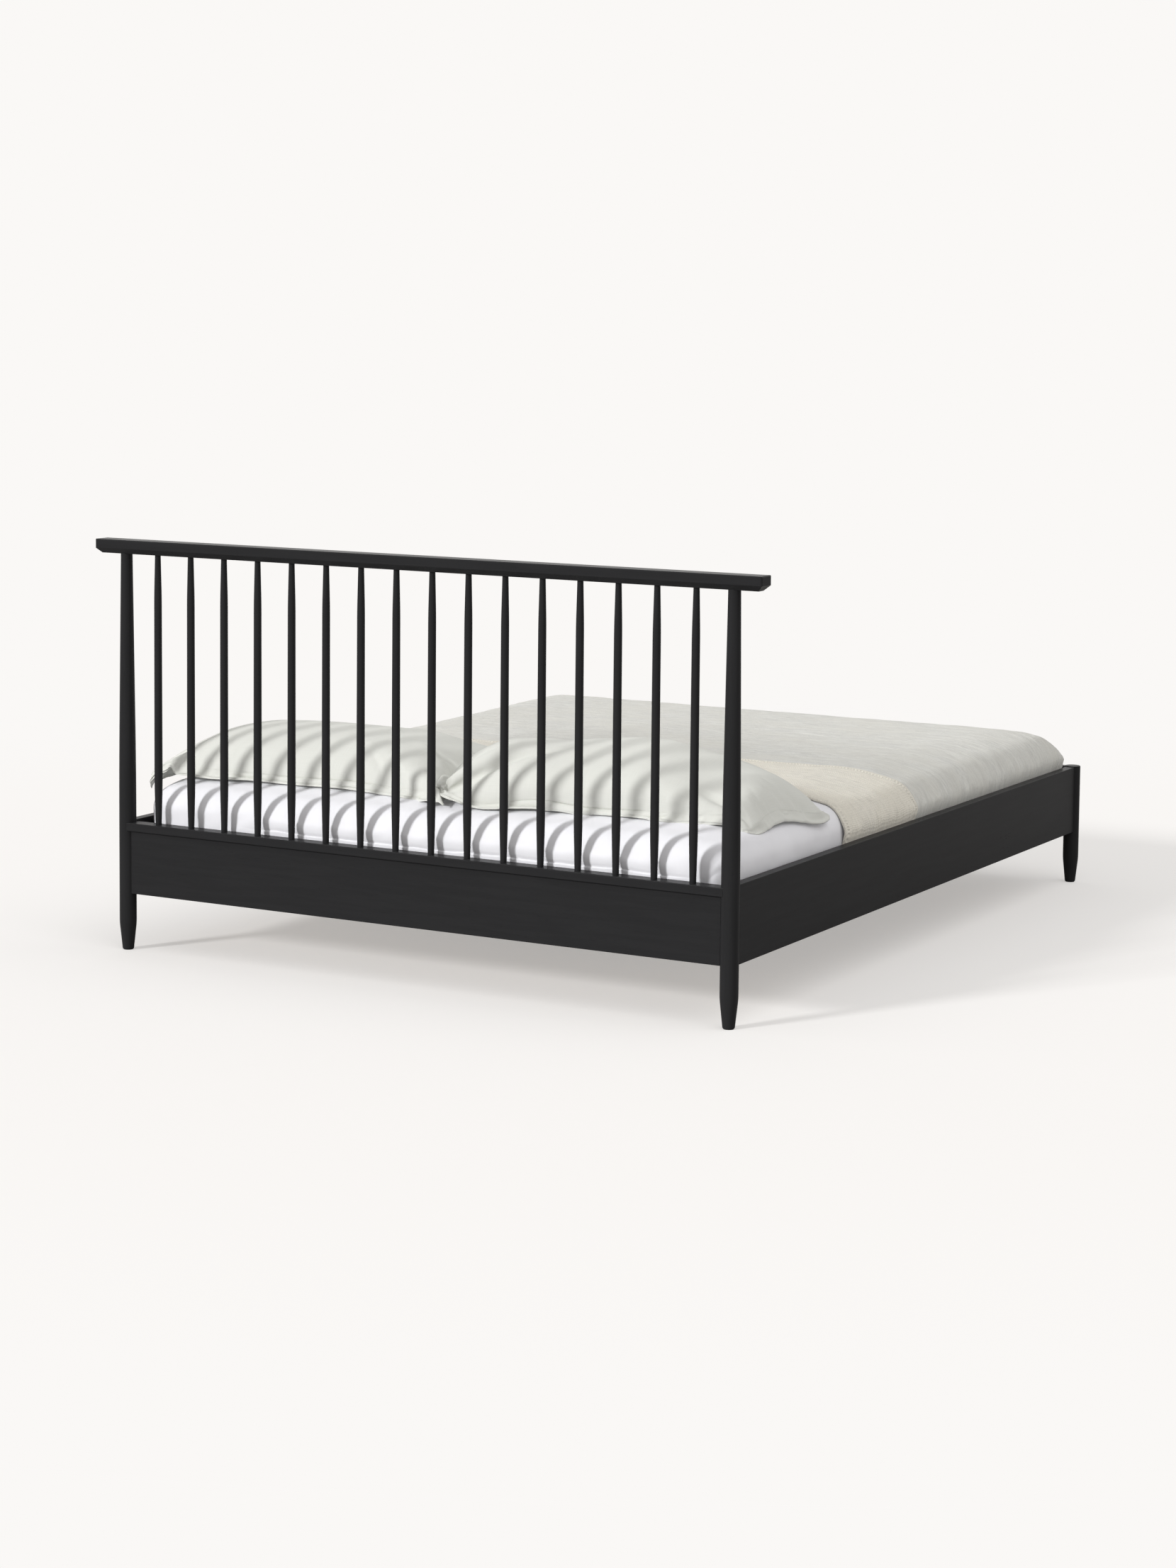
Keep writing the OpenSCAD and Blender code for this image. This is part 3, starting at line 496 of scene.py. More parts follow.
def stitch_tree(pitch, length, width, material):
    """Geometry nodes that lay one stitch after another along the edges of a mesh."""
    tree = bpy.data.node_groups.new("stitches", "GeometryNodeTree")
    for name, way in (("Seam", "INPUT"), ("Stitches", "OUTPUT")):
        tree.interface.new_socket(name=name, in_out=way, socket_type="NodeSocketGeometry")
    g = Graph(tree)
    curve = g.add("GeometryNodeMeshToCurve", {"Mesh": g.add("NodeGroupInput")})
    spots = g.add("GeometryNodeCurveToPoints", {"Curve": curve, "Length": pitch}, mode="LENGTH")
    along = g.add("FunctionNodeAlignRotationToVector", {"Vector": spots.other("Tangent")}, axis="Z")
    bead = g.add("GeometryNodeMeshUVSphere", {"Segments": 6, "Rings": 4, "Radius": 0.5})
    spread = g.add("FunctionNodeRandomValue", {2: 0.85, 3: 1.15, "Seed": 7}, out=1, data_type="FLOAT")
    scale = g.add("ShaderNodeVectorMath", {"Vector": (width, width, length), "Scale": spread},
                  operation="SCALE")
    laid = g.add("GeometryNodeInstanceOnPoints",
                 {"Points": spots, "Instance": bead, "Rotation": along, "Scale": scale})
    made = g.add("GeometryNodeRealizeInstances", {"Geometry": laid})
    coated = g.add("GeometryNodeSetMaterial", {"Geometry": made, "Material": material})
    g.add("NodeGroupOutput", {0: coated})
    return tree


def stitched(name, seams, pitch, length, width, material, slot):
    """Sews along each seam, a row of points, and returns the stitches as one plain mesh."""
    mesh = bpy.data.meshes.new(name)
    starts = np.cumsum([0] + [len(seam) for seam in seams])
    edges = [(i, i + 1) for first, last in zip(starts, starts[1:]) for i in range(first, last - 1)]
    mesh.from_pydata(np.concatenate(seams).tolist(), edges, [])
    piece = link_object(name, mesh)
    sewing = piece.modifiers.new("sewing", "NODES")
    sewing.node_group = stitch_tree(pitch, length, width, material)
    piece.data = settled(piece)
    piece.data.shade_smooth()
    return finished_in(piece, material)


def settled(obj):
    """The piece's mesh as its modifiers leave it. They are taken off."""
    mesh = bpy.data.meshes.new_from_object(obj.evaluated_get(bpy.context.evaluated_depsgraph_get()))
    obj.modifiers.clear()
    return mesh


def thicken(obj, thickness):
    shell = obj.modifiers.new("thickness", "SOLIDIFY")
    shell.thickness = thickness
    shell.offset = 0
    shell.use_even_offset = True


def coat(obj, material):
    """Puts one material in place of those that a piece has."""
    obj.data.materials.clear()
    obj.data.materials.append(material)


def finished_in(obj, material):
    coat(obj, material)
    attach(obj, "root")
    return obj


# Settings

class WoodLook(bpy.types.PropertyGroup):
    """The stained wood of the frame."""
    stain: FloatVectorProperty(
        name="Stain", description="Colour of the stained wood", subtype="COLOR", default=linear("#29292A"),
        min=0, max=1)
    grain_contrast: FloatProperty(
        name="Grain contrast", description="How far the grain's bands differ in tone", default=0.045, min=0,
        max=1, subtype="FACTOR")
    wood_roughness: FloatProperty(
        name="Roughness", description="Roughness of the satin lacquer", default=0.3, min=0, max=1,
        subtype="FACTOR")


class BeddingLook(bpy.types.PropertyGroup):
    """The mattress's sheet, the coverlet and the pillows."""
    sheet: FloatVectorProperty(
        name="Sheet", description="Colour of the fitted sheet", subtype="COLOR", default=linear("#F0F0F4"),
        min=0, max=1)
    coverlet: FloatVectorProperty(
        name="Coverlet", description="Colour of the coverlet", subtype="COLOR", default=linear("#D9D9D4"),
        min=0, max=1)
    band: FloatVectorProperty(
        name="Turned-back end", description="Colour of the coverlet's reverse", subtype="COLOR",
        default=linear("#E8E4D9"), min=0, max=1)
    pillow: FloatVectorProperty(
        name="Pillows", description="Colour of the pillowcases", subtype="COLOR", default=linear("#DCDDD7"),
        min=0, max=1)
    pillow_wide: FloatProperty(
        name="Pillowcase width", description="Width of a pillowcase, laid flat with its border", default=0.92,
        min=0.5, max=1.0, unit="LENGTH")
    pillow_long: FloatProperty(
        name="Pillowcase length", description="Length of a pillowcase, laid flat with its border",
        default=0.53, min=0.4, max=0.7, unit="LENGTH")
    pillow_fill: FloatProperty(
        name="Pillow filling", description="Volume of a pillow's filling, in cubic metres", default=0.0235,
        min=0.005, max=0.05, unit="VOLUME")


class StageLook(bpy.types.PropertyGroup):
    """The floor, the lights and the background."""
    background: FloatVectorProperty(
        name="Background", description="Colour of the floor and the background", subtype="COLOR",
        default=linear("#FAF8F6"), min=0, max=1)
    key: FloatProperty(
        name="Key light", description="Strength of the low key light behind the camera", default=2.45, min=0,
        max=10)
    overhead: FloatProperty(
        name="Overhead light", description="Strength of the broad light from above", default=0.8, min=0,
        max=10)
    ambient: FloatProperty(
        name="Ambient light", description="Strength of the even light from all round", default=0.5, min=0,
        max=4)
    floor_glow: FloatProperty(
        name="Floor glow", description="Share of the floor's tone that shadows leave alone", default=0.42,
        min=0, max=1, subtype="FACTOR")


# Operators

class BED_OT_stage(bpy.types.Operator):
    """Sets up the floor, the lights, the background and the camera"""
    bl_idname = "bed.stage"
    bl_label = "Stage"

    floor_half = 60.0
    # How far from the bed's middle the floor fades into the background
    fade = 2.2, 4.2
    sensor_mm = 36
    clip = 0.1, 200

    def execute(self, context):
        look = context.scene.bed_stage
        self.floor(look)
        self.world(context, look)
        self.lamp("key", look.key, azimuth=27, elevation=22, angle=9)
        self.lamp("overhead", look.overhead, azimuth=-75, elevation=60, angle=60)
        self.camera(context)
        return {"FINISHED"}

    def floor(self, look):
        mesh = bpy.data.meshes.new("floor")
        ways = (-1, -1), (1, -1), (1, 1), (-1, 1)
        corners = [(self.floor_half * a, self.floor_half * b, 0) for a, b in ways]
        mesh.from_pydata(corners, [], [(0, 1, 2, 3)])
        floor = link_object("floor", mesh)
        g = new_material("floor")
        base = tuple(look.background)
        lit = g.add("ShaderNodeBsdfPrincipled", {"Base Color": times(base, 1 - look.floor_glow),
                                                 "Roughness": 0.95, "Specular IOR Level": 0.0})
        seen = g.add("ShaderNodeLightPath").other("Is Camera Ray")
        glow = g.add("ShaderNodeEmission", {"Color": base, "Strength": seen * look.floor_glow})
        both = g.add("ShaderNodeAddShader", {0: lit, 1: glow})
        x, y, _ = g.parts(g.place())
        faded = g.ranged((x * x + y * y) ** 0.5, *self.fade) * seen
        plain = g.add("ShaderNodeEmission", {"Color": base, "Strength": 1.0})
        blended = g.add("ShaderNodeMixShader", {0: faded, 1: both, 2: plain})
        g.add("ShaderNodeOutputMaterial", {"Surface": blended})
        mesh.materials.append(g.material)

    def world(self, context, look):
        world = bpy.data.worlds.new("background")
        world.use_nodes = True
        g = Graph(world.node_tree)
        ray = g.add("ShaderNodeLightPath")
        kinds = "Camera", "Glossy", "Transmission"
        straight, glossy, through = (ray.other(f"Is {kind} Ray") for kind in kinds)
        seen = straight.most(glossy).most(through)
        strength = seen + (1 - seen) * look.ambient
        light = g.add("ShaderNodeBackground", {"Color": look.background, "Strength": strength})
        g.add("ShaderNodeOutputWorld", {"Surface": light})
        context.scene.world = world

    def lamp(self, name, strength, azimuth, elevation, angle):
        """A far lamp. Azimuth is measured from the head of the bed towards the photograph's left."""
        lamp = bpy.data.lights.new(name, "SUN")
        lamp.energy = strength
        lamp.angle = math.radians(angle)
        a, e = math.radians(azimuth), math.radians(elevation)
        towards = Vector((math.sin(a) * math.cos(e), math.cos(a) * math.cos(e), math.sin(e)))
        obj = link_object(name, lamp)
        obj.rotation_mode = "QUATERNION"
        obj.rotation_quaternion = towards.to_track_quat("Z", "Y")
        obj.location = towards * 6

    def camera(self, context):
        cam = bpy.data.cameras.new("camera")
        cam.sensor_width = self.sensor_mm
        cam.lens = FOCAL_PX / PHOTO_H * cam.sensor_width
        cam.shift_x = (PHOTO_W / 2 - CENTRE_PX[0]) / PHOTO_H
        cam.shift_y = (CENTRE_PX[1] - PHOTO_H / 2) / PHOTO_H
        cam.clip_start, cam.clip_end = self.clip
        obj = link_object("camera", cam)
        ahead = Vector((math.sin(CAMERA_YAW) * math.cos(CAMERA_PITCH),
                        -math.cos(CAMERA_YAW) * math.cos(CAMERA_PITCH), -math.sin(CAMERA_PITCH)))
        level = ahead.cross(Vector((0, 0, 1))).normalized()
        upright = level.cross(ahead)
        c, s = math.cos(CAMERA_ROLL), math.sin(CAMERA_ROLL)
        right, up = c * level + s * upright, c * upright - s * level
        obj.matrix_world = Matrix.Translation(CAMERA_AT) @ Matrix((right, up, -ahead)).transposed().to_4x4()
        context.scene.camera = obj
        context.scene.view_settings.view_transform = "Standard"


class BED_OT_wood(bpy.types.Operator):
    """Finishes the posts, rails, spindles and the slatted base"""
    bl_idname = "bed.wood"
    bl_label = "Wood"

    along = {"crest_rail": "X", "cap_rail": "X", "head_panel": "X", "foot_rail": "X",
             "side_rail_left": "Y", "side_rail_right": "Y"}

    def execute(self, context):
        stained = {axis: stained_wood(axis, context.scene.bed_wood) for axis in "XYZ"}
        pine = linear("#E2C79B")
        slats = bare_wood("pine", pine, "X", RING_RATE, knots=True)
        beams = bare_wood("pine_along", pine, "Y", RING_RATE)
        beech = bare_wood("beech", linear("#D9B48A"), "Z", 60.0)
        for name, node in NODES.items():
            if "post" in name or name.startswith("spindle"):
                coat(node, stained["Z"])
            elif name in self.along:
                coat(node, stained[self.along[name]])
            elif name.startswith("slat_") and name != "slat_webbing":
                coat(node, slats)
            elif name in ("ledger_left", "ledger_right", "centre_beam"):
                coat(node, beams)
            elif name.startswith("centre_leg") or name == "rail_dowels":
                coat(node, beech)
        return {"FINISHED"}


class BED_OT_fittings(bpy.types.Operator):
    """Finishes the steel fittings and the webbing of the base"""
    bl_idname = "bed.fittings"
    bl_label = "Fittings"

    def execute(self, context):
        steel, strap = zinc_plate(), woven_strap()
        for name in ("beam_shoe_head", "beam_shoe_foot", "rail_studs", "stud_nuts", "crescent_washers",
                     "ledger_screws", "shoe_screws", "leg_hanger_bolts"):
            coat(NODES[name], steel)
        coat(NODES["slat_webbing"], strap)
        return {"FINISHED"}


class BED_OT_mattress(bpy.types.Operator):
    """Makes the mattress in its quilted cover"""
    bl_idname = "bed.mattress"
    bl_label = "Mattress"

    cells = 0.02, 0.008
    # Radius of the lower edge, and how far in and up the middle of its rounding lies
    turned_in, half_turned = 0.018, 0.0053

    def execute(self, context):
        bottom_z = MATTRESS_LOW.z
        hem = flat_reach(bottom_z + self.turned_in)
        x, y = np.meshgrid(across(CORE_X, hem, *self.cells), across(CORE_Y, hem, *self.cells))
        mesh = grid_mesh("mattress_body", laid_over(x, y, 0), np.stack([x, y], -1))
        bm = bmesh.new()
        bm.from_mesh(mesh)
        self.close_underside(bm, bottom_z)
        bm.to_mesh(mesh)
        bm.free()
        mesh.shade_smooth()
        piece = link_object("mattress_body", mesh)
        finished_in(piece, ticking(context.scene.bed_bedding))
        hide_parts("mattress")
        return {"FINISHED"}

    def close_underside(self, bm, bottom_z):
        """Turns the lower edge in under the mattress and closes it."""
        edge = [e for e in bm.edges if e.is_boundary]
        for inset, z in ((self.half_turned, bottom_z + self.half_turned), (self.turned_in, bottom_z)):
            made = bmesh.ops.extrude_edge_only(bm, edges=edge)["geom"]
            ring = [v for v in made if isinstance(v, bmesh.types.BMVert)]
            edge = [e for e in made if isinstance(e, bmesh.types.BMEdge) and e.is_boundary]
            for v in ring:
                v.co.x *= (HALF_W - inset) / HALF_W
                v.co.y = MID_Y + (v.co.y - MID_Y) * (HALF_L - inset) / HALF_L
                v.co.z = z
        bmesh.ops.contextual_create(bm, geom=edge)
        bmesh.ops.recalc_face_normals(bm, faces=bm.faces)


class BED_OT_fitted_sheet(bpy.types.Operator):
    """Makes the fitted sheet over the mattress"""
    bl_idname = "bed.fitted_sheet"
    bl_label = "Fitted sheet"

    cloth, clearance = 0.0008, 0.0009
    # The crease where it turns under at the head, the span of its closer rows, and where it fades in
    crease_z, crease_span = 0.3235, 0.009
    crease_left, crease_right = (0.52, 0.36), (-0.76, -0.6)
    crease_deep, crease_wide = 0.0026, 0.0022
    belly_high, belly_wide, belly_above = 0.0030, 0.014, 0.016
    # Where along the bed the sheet lies bare, and how loose
    bare_y, loose_high = (0.44, 0.52), 0.0026

    def execute(self, context):
        hem = flat_reach(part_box("fitted_sheet")[0].z)
        y_line = across(CORE_Y, hem)
        tuck = CORE_Y + flat_reach(self.crease_z)
        y_line = np.union1d(y_line[np.abs(y_line - tuck) > self.crease_span],
                            tuck + np.linspace(-self.crease_span, self.crease_span, 10))
        x, y = np.meshgrid(across(CORE_X, hem), y_line)
        flat_x, flat_y, flat_z = np.moveaxis(laid_over(x, y, 0), -1, 0)
        free = smoothstep(RAIL_TOP - 0.03, RAIL_TOP, flat_z)
        loose = np.abs(waves(x, y, 5, 0.22)) * self.loose_high * smoothstep(*self.bare_y, flat_y) * free
        on_head = smoothstep(HALF_L - 0.03, HALF_L - 0.01, flat_y - MID_Y)
        run = smoothstep(*self.crease_left, flat_x) * smoothstep(*self.crease_right, flat_x) * on_head
        crease_z = self.crease_z + waves(x, 0, 9, 0.5, 2) * 0.002
        crease = bell(flat_z, crease_z, self.crease_wide)
        belly = bell(flat_z - crease_z, self.belly_above, self.belly_wide)
        relief = loose + run * (belly * self.belly_high - crease * self.crease_deep)
        points = laid_over(x, y, self.clearance + relief)
        piece = link_object("sheet_fitted", grid_mesh("sheet_fitted", points, np.stack([x, y], -1)))
        thicken(piece, self.cloth)
        finished_in(piece, percale(context.scene.bed_bedding))
        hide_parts("fitted_sheet")
        return {"FINISHED"}


class BED_OT_coverlet(bpy.types.Operator):
    """Makes the gauze coverlet with its head end turned back, and sews its hems"""
    bl_idname = "bed.coverlet"
    bl_label = "Coverlet"

    cloth = 0.0016
    row = 0.0076
    # Heights of the two layers over the mattress, and the radius of the fold that joins them
    lower, upper, fold_radius = 0.0030, 0.0056, 0.0028
    # The turned-back end: its length, how far askew it lies, and from where across the bed
    turn_back, skew, skew_from = 0.42, 0.085, -0.75
    hem_wide, fold_seam = 0.014, 0.016
    # The place along the bed where the tucked cloth is gathered
    gather_y, gather_wide = -0.13, 0.09
    slack_high, pleats_high, gathers_high, folds_high = 0.0030, 0.0042, 0.0085, 0.0016
    crinkle_high, crinkle_lift, fold_wander = 0.00055, 0.0004, 0.0028
    # Pitch, length and width of a stitch
    stitches = 0.0042, 0.0034, 0.0005

    def execute(self, context):
        look = context.scene.bed_bedding
        low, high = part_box("coverlet")
        hem = flat_reach(low.z)
        head_y = high.y - MID_Y - 0.012
        path = self.path(head_y, head_y - self.turn_back, CORE_Y + hem)
        x_line = across(CORE_X, hem, 0.019, 0.008)
        points = self.laid(x_line, path, head_y)
        fold_v = path[np.argmax(path[:, 0]), 3]
        mesh = grid_mesh("coverlet_gauze", points, np.stack(np.meshgrid(x_line, path[:, 3]), -1))
        piece = link_object("coverlet_gauze", mesh)
        thicken(piece, self.cloth)
        finished_in(piece, crinkled_gauze("grey_gauze", tuple(look.coverlet), 0.15, ()))
        seams = ((fold_v + self.fold_seam, 0.009), (path[-1, 3] - self.hem_wide, 0.006))
        piece.data.materials.append(crinkled_gauze("cream_gauze", tuple(look.band), 0.8, seams))
        turned = np.repeat(path[:-1, 2], len(x_line) - 1) > 0
        piece.data.polygons.foreach_set("material_index", turned.astype(np.int32))
        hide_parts("coverlet")
        sewing = self.hems(x_line, path, head_y, fold_v, look)
        return {"FINISHED"}

    def path(self, head_y, band_y, foot_y):
        """Rows of the cloth from foot to head, round the fold and back: y, height, layer, flat length."""
        lower, upper, radius = self.lower, self.upper, self.fold_radius
        middle = 0.1
        rows = [(-p, lower, 0) for p in steps(foot_y, middle, self.row)]
        rows += [(p, lower, 0) for p in steps(self.row - middle, head_y - radius, self.row)]
        for a in np.linspace(0.2, math.pi, 7):
            rows.append((head_y - radius + radius * math.sin(a), lower + radius * (1 - math.cos(a)), 1))
        for p in steps(head_y - radius - 0.006, band_y + self.hem_wide + 0.002, self.row):
            ease = 1 - smoothstep(0.0, 0.05, head_y - p)
            rows.append((p, upper + (lower + 2 * radius - upper) * ease, 1))
        rows += [(band_y + p, upper + h, 1) for p, h in
                 ((self.hem_wide, 0.0010), (self.hem_wide / 2, 0.0012), (0.001, 0.0011), (0.0, 0.0006))]
        rows = np.array(rows)
        length = np.concatenate([[0], np.cumsum(np.hypot(np.diff(rows[:, 0]), np.diff(rows[:, 1])))])
        return np.column_stack([rows, length])

    def laid(self, x_line, path, head_y, lift=0.0):
        """The cloth's points over the bed, with its crinkles, its slack above the rails and its wavy fold."""
        x, y = np.meshgrid(x_line, path[:, 0])
        grow, turned, v = (np.repeat(path[:, k][:, None], len(x_line), 1) for k in (1, 2, 3))
        near_fold = smoothstep(0.07, 0.0, head_y - y)
        y = y + turned * self.skew * (x - self.skew_from) * (head_y - y) / self.turn_back
        y = y + near_fold * waves(x, 0, 21, 0.09, 2) * self.fold_wander
        flat_x, flat_y, down = np.moveaxis(laid_over(x, y, grow), -1, 0)
        free = smoothstep(RAIL_TOP + 0.0005, RAIL_TOP + 0.012, down)
        grow = np.minimum(grow, self.upper) * (1 - free) + grow * free
        on_side = np.clip((TOP_Z + 0.006 - down) / (TOP_Z - RAIL_TOP), 0, 1)
        slack = smoothstep(0.0, 0.8, on_side) * free
        tucked = bell(down - RAIL_TOP, 0.014, 0.016) * free
        around = np.where(np.abs(flat_x) > HALF_W - 0.03, flat_y, flat_x)
        band_y = head_y - self.turn_back
        covered = (turned < 0.5) * smoothstep(band_y - 0.012, band_y + 0.01, y)
        relief = slack * self.slack_high + tucked * np.abs(waves(around, 0, 31, 0.075, 3)) * self.pleats_high
        gathered = bell(around, self.gather_y, self.gather_wide) * smoothstep(0.050, 0.0, down - RAIL_TOP)
        relief += free * gathered * np.abs(waves(around, 0, 61, 0.036, 2)) * self.gathers_high
        relief += free * np.abs(waves(x, y, 11, 0.22, 2)) * self.folds_high
        crinkle = waves(x / 4.5, v, 41, 0.040, 2)
        relief += free * (1 - covered) * (crinkle * self.crinkle_high + self.crinkle_lift)
        return laid_over(x, y, grow + relief + lift)

    def hems(self, x_line, path, head_y, fold_v, look):
        """The sewing along the fold and along both edges of the turned-back end's hem."""
        seams = []
        free_line = x_line[np.abs(x_line) < CORE_X + flat_reach(RAIL_TOP + 0.006)]
        count = len(free_line)
        fine_line = np.interp(np.linspace(0, 1, 4 * count), np.linspace(0, 1, count), free_line)
        end_v = path[-1, 3]
        for length in (fold_v + self.fold_seam, end_v - self.hem_wide + 0.0015, end_v - 0.0025):
            rows = [np.interp(length + step, path[:, 3], path[:, k]) for step in (0, 1e-4) for k in range(4)]
            near = np.array(rows).reshape(2, 4)
            seams.append(self.laid(fine_line, near, head_y, self.cloth / 2)[0])
        sewing_thread = thread("cream_thread", tuple(look.band))
        return stitched("coverlet_sewing", seams, *self.stitches, sewing_thread, "grey_gauze")


class BED_OT_pillows(bpy.types.Operator):
    """Sews, stuffs and lays the two pillows in their bordered cases"""
    bl_idname = "bed.pillows"
    bl_label = "Pillows"

    border, cell = 0.038, 0.0095
    stitches = 0.0036, 0.0027, 0.0007
    frames = 40
    # The middle of each case, its turn in degrees, and how much higher its inner end starts
    laid_at = {"left": (0.412, 0.738, 0.5, 0.0), "right": (-0.396, 0.722, 4.0, 0.045)}
    # Where a case starts and ends above the bed, and the gaps that hold pieces apart in the simulation
    start_high, least_high, bed_gap, outer_gap, cloth_gap = 0.026, 0.0035, 0.0015, 0.002, 0.003
    # Millimetres that a stuffed case is moved: raised at 21 places, its upper layer raised more at 7,
    # its corners moved in x and y, and the whole case moved in x and y
    places = ((-0.42, -0.28, -0.14, 0.0, 0.14, 0.28, 0.42), (-0.23, 0.0, 0.23))
    raised = {"left": ((0, 0, 1, 0, -3, -5, 2), (-7, -2, -4, 0, 2, 19, 44), (-13, -5, 3, -3, 6, -10, 23)),
              "right": ((-52, 12, -16, 11, 13, -46, -21), (14, 3, -2, -5, -18, -6, 20),
                        (18, -13, 5, -10, 16, -26, 8))}
    belly = {"left": (-13, -5, -6, 1, 2, 3, -33), "right": (13, -23, 7, 1, -4, 26, -7)}
    corners = {"left": ((6, 11), (-24, 11), (1, 3), (24, -27)),
               "right": ((-64, 45), (28, -86), (-11, 2), (-14, -19))}
    whole = {"left": (11, -4), "right": (10, 3)}
    # How far each of those moves reaches over the cloth: across, along, and about a corner
    reach_across, reach_along, reach_corner = 0.13, 0.18, 0.18
    # At the open end: how far the upper lip lifts, how far both reach out, and how far the edge turns in
    lip_up, upper_out, lower_out, lip_in = 0.0035, 0.002, 0.008, 0.006
    layer_half, press_in, press_out = 0.0011, 0.001, 0.012

    def execute(self, context):
        look = context.scene.bed_bedding
        linen, sewing_thread = washed_linen(look), thread("stone_thread", tuple(look.pillow))
        self.bed_top()
        for name, (x, y, turn, lift) in self.laid_at.items():
            piece = self.sewn_case(f"pillow_{name}_stuffed", (x, y), math.radians(turn), lift, look)
            self.stuff(context, piece, look)
            self.shape(piece, name, look)
            self.press_border(piece)
            self.collides(link_object("rest_" + piece.name, piece.data.copy()))
            seam = self.border_seam(piece)
            self.finish(piece)
            finished_in(piece, linen)
            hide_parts(f"pillow_{name}")
            stitched(f"pillow_{name}_sewing", [seam], *self.stitches, sewing_thread, "stone_linen")
        for obj in [o for o in bpy.data.objects if o.name.startswith("rest_")]:
            bpy.data.objects.remove(obj)
        return {"FINISHED"}

    def bed_top(self):
        """The surface that the pillows lie on, while they are stuffed."""
        x, y = np.meshgrid(np.arange(-0.93, 0.931, 0.015), np.arange(0.0, 1.16, 0.015))
        mesh = grid_mesh("rest_bed", laid_over(x, y, self.bed_gap), np.stack([x, y], -1))
        self.collides(link_object("rest_bed", mesh))

    def collides(self, obj):
        obj.modifiers.new("collision", "COLLISION")
        obj.collision.thickness_outer = self.outer_gap
        obj.collision.cloth_friction = 12
        obj.hide_render = True

    def sewn_case(self, name, place, turn, lift, look):
        """Two layers of cloth that share their outer edge, and the thread that joins them at the border."""
        wide, long = look.pillow_wide, look.pillow_long
        x, y = np.meshgrid(steps(-wide / 2, wide / 2, self.cell), steps(-long / 2, long / 2, self.cell))
        inset = np.minimum(wide / 2 - abs(x), long / 2 - abs(y))
        edge = inset < 1e-6
        rise = np.where(edge, 0, 0.0012 + 0.02 * np.clip((inset - self.border) / 0.1, 0, 1) ** 0.7)
        upper = np.arange(x.size).reshape(x.shape)
        lower = upper.copy()
        lower[~edge] = x.size + np.arange((~edge).sum())
        c, s = math.cos(turn), math.sin(turn)
        px, py = place[0] + c * x - s * y, place[1] + s * x + c * y - MID_Y
        ground = self.start_high + lift * smoothstep(-0.2, 0.02, px)
        top = laid_over(px, py, ground + rise).reshape(-1, 3)
        under = laid_over(px, py, ground - rise)[~edge]
        faces = np.concatenate([quads(upper), quads(lower, (0, 3, 2, 1))])
        joined = np.stack([upper[~edge], lower[~edge]], -1)[inset[~edge] <= self.border + 1e-6]
        mesh = bpy.data.meshes.new(name)
        mesh.from_pydata(np.concatenate([top, under]).tolist(), joined.tolist(), faces.tolist())
        flat = np.stack([x, y], -1)
        add_uv(mesh, faces, np.concatenate([flat.reshape(-1, 2), flat[~edge]]))
        obj = link_object(name, mesh)
        filled = obj.vertex_groups.new(name="filled")
        inside = inset > self.border
        filled.add(np.concatenate([upper[inside], lower[inside]]).tolist(), 1.0, "REPLACE")
        self.upper, self.lower, self.inset = upper, lower, inset
        return obj

    def stuff(self, context, obj, look):
        """Fills the case by cloth simulation."""
        cloth = obj.modifiers.new("cloth", "CLOTH")
        s = cloth.settings
        s.quality, s.mass, s.air_damping = 5, 0.3, 5
        s.use_pressure, s.use_pressure_volume = True, True
        s.uniform_pressure_force, s.target_volume = 10, look.pillow_fill
        s.vertex_group_pressure = "filled"
        s.use_sewing_springs, s.sewing_force_max = True, 5
        s.tension_stiffness = s.compression_stiffness = 15
        s.shear_stiffness, s.bending_stiffness, s.bending_damping = 5, 0.5, 0.5
        s.effector_weights.gravity = 0.15
        cloth.collision_settings.distance_min = self.cloth_gap
        cloth.collision_settings.collision_quality = 3
        cloth.point_cache.frame_start, cloth.point_cache.frame_end = 1, self.frames
        for number in range(1, self.frames + 1):
            context.scene.frame_set(number)
        obj.data = settled(obj)
        context.scene.frame_set(1)

    def shape(self, obj, name, look):
        """Settles the stuffed case: moves parts of it by listed amounts and keeps it above the bed."""
        points = read_points(obj.data)
        half = (look.pillow_wide / 2, look.pillow_long / 2)
        u, v, full = (np.zeros(len(points)) for _ in range(3))
        rows, columns = self.upper.shape
        for layer, share in ((self.lower, 0), (self.upper, 1)):
            u[layer], v[layer] = np.meshgrid(np.linspace(-half[0], half[0], columns),
                                             np.linspace(-half[1], half[1], rows))
            full[layer] = share * np.sin(np.clip((self.inset - self.border) / 0.12, 0, 1) * math.pi / 2)
        push = np.zeros_like(points)
        push[:, :2] = self.whole[name]
        for k, a in enumerate(self.places[0]):
            near = bell(u, a, self.reach_across)
            push[:, 2] += near * full * self.belly[name][k]
            for row, b in zip(self.raised[name], self.places[1]):
                push[:, 2] += near * bell(v, b, self.reach_along) * row[k]
        for (dx, dy), (a, b) in zip(self.corners[name], ((-1, -1), (-1, 1), (1, -1), (1, 1))):
            near = np.exp(-((u - a * half[0]) / self.reach_corner) ** 2
                          - ((v - b * half[1]) / self.reach_corner) ** 2)
            push[:, 0] += near * dx
            push[:, 1] += near * dy
        points += push * 0.001
        points[:, 2] = np.maximum(points[:, 2], bed_height(points[:, 0], points[:, 1]) + self.least_high)
        write_points(obj.data, points)

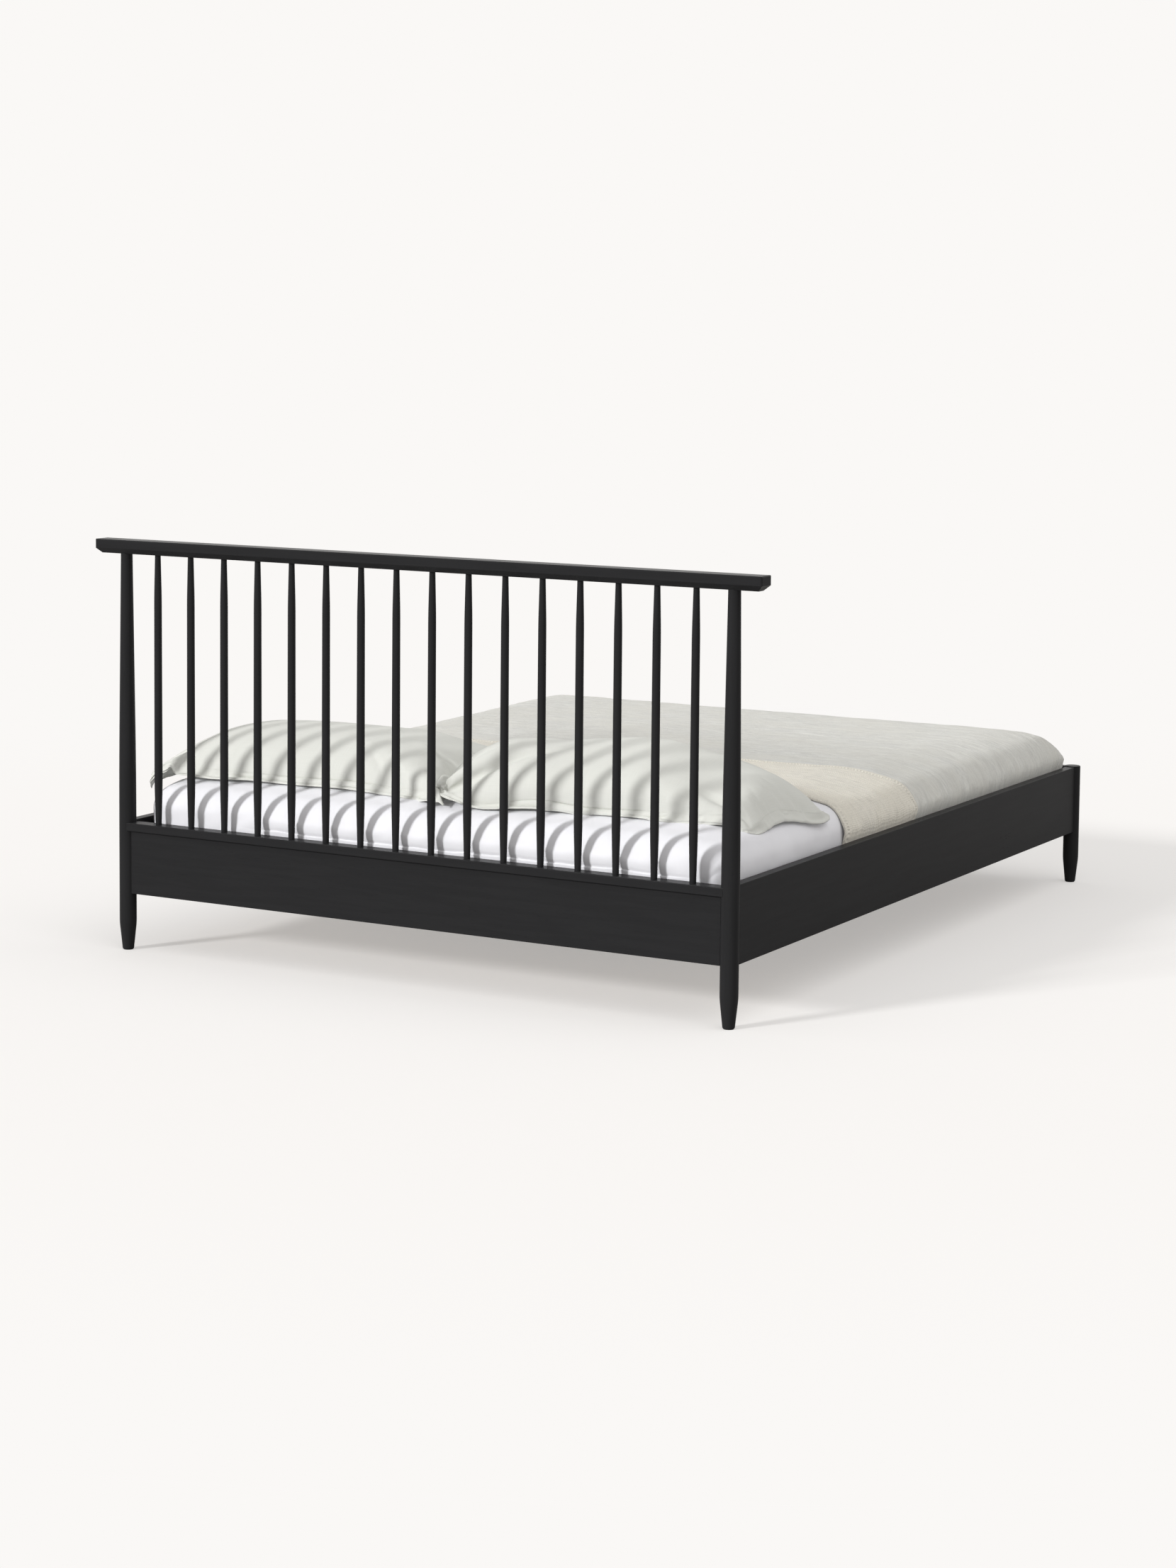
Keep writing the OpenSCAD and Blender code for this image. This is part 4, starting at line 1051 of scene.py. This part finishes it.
    def press_border(self, obj):
        """Lays the border's two layers flat on each other again, and parts their lips at the open end."""
        points = read_points(obj.data)
        middle = (points[self.upper] + points[self.lower]) / 2
        normal = grid_normals(middle)
        apart = np.where(self.inset < 1e-6, 0, self.layer_half)
        blend = smoothstep(self.border + self.press_out, self.border + self.press_in, self.inset)[..., None]
        for layer, way in ((self.upper, 1), (self.lower, -1)):
            flat = middle + normal * (way * apart)[..., None]
            points[layer] = flat * blend + points[layer] * (1 - blend)
        column = np.arange(self.upper.shape[1])
        ends = np.clip(np.minimum(column, column[::-1]) / 4, 0, 1)[:, None]
        out = middle[-2] - middle[-4]
        out /= np.linalg.norm(out, axis=-1, keepdims=True)
        points[self.upper[-2]] += ends * (normal[-2] * self.lip_up + out * self.upper_out)
        points[self.lower[-2]] += ends * (out * self.lower_out)
        points[self.upper[-1]] = points[self.upper[-1]] * (1 - ends) + (middle[-2] - out * self.lip_in) * ends
        write_points(obj.data, points)

    def border_seam(self, obj):
        """The closed row of points where the border is sewn, just above the upper layer."""
        k = int(round(self.border / self.cell))
        points = read_points(obj.data)[self.upper]
        raised = points + grid_normals(points) * 0.0006
        inner = raised[k:-k, k:-k]
        return np.concatenate([inner[0, :-1], inner[:-1, -1], inner[-1, :0:-1], inner[:0:-1, 0],
                               inner[:1, 0]])

    def finish(self, obj):
        """Takes the joining thread's edges out and subdivides the cloth once."""
        bm = bmesh.new()
        bm.from_mesh(obj.data)
        bmesh.ops.delete(bm, geom=[e for e in bm.edges if not e.link_faces], context="EDGES")
        bm.to_mesh(obj.data)
        bm.free()
        obj.vertex_groups.clear()
        obj.data.shade_smooth()
        finer = obj.modifiers.new("finer", "SUBSURF")
        finer.levels = finer.render_levels = 1


class BED_PT_panel(bpy.types.Panel):
    """Lists the bed's settings and the pieces that can be made"""
    bl_idname = "BED_PT_panel"
    bl_label = "Bed"
    bl_space_type = "VIEW_3D"
    bl_region_type = "UI"
    bl_category = "Bed"

    def draw(self, context):
        layout = self.layout
        for name, group in LOOKS:
            box = layout.box()
            box.label(text=name.removeprefix("bed_").capitalize())
            for setting in group.__annotations__:
                box.prop(getattr(context.scene, name), setting)
        for operator in OPERATORS:
            layout.operator(operator.bl_idname)


LOOKS = (("bed_wood", WoodLook), ("bed_bedding", BeddingLook), ("bed_stage", StageLook))
OPERATORS = (BED_OT_stage, BED_OT_wood, BED_OT_fittings, BED_OT_mattress, BED_OT_fitted_sheet,
             BED_OT_coverlet, BED_OT_pillows)


def register():
    for _, group in LOOKS:
        bpy.utils.register_class(group)
    for kind in (*OPERATORS, BED_PT_panel):
        bpy.utils.register_class(kind)
    for name, group in LOOKS:
        setattr(bpy.types.Scene, name, PointerProperty(type=group))


def unregister():
    for name, _ in LOOKS:
        delattr(bpy.types.Scene, name)
    for kind in (BED_PT_panel, *reversed(OPERATORS)):
        bpy.utils.unregister_class(kind)
    for _, group in reversed(LOOKS):
        bpy.utils.unregister_class(group)


def main():
    """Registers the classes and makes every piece."""
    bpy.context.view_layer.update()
    register()
    bpy.ops.bed.stage()
    bpy.ops.bed.wood()
    bpy.ops.bed.fittings()
    bpy.ops.bed.mattress()
    bpy.ops.bed.fitted_sheet()
    bpy.ops.bed.coverlet()
    bpy.ops.bed.pillows()


if __name__ == "__main__":
    main()
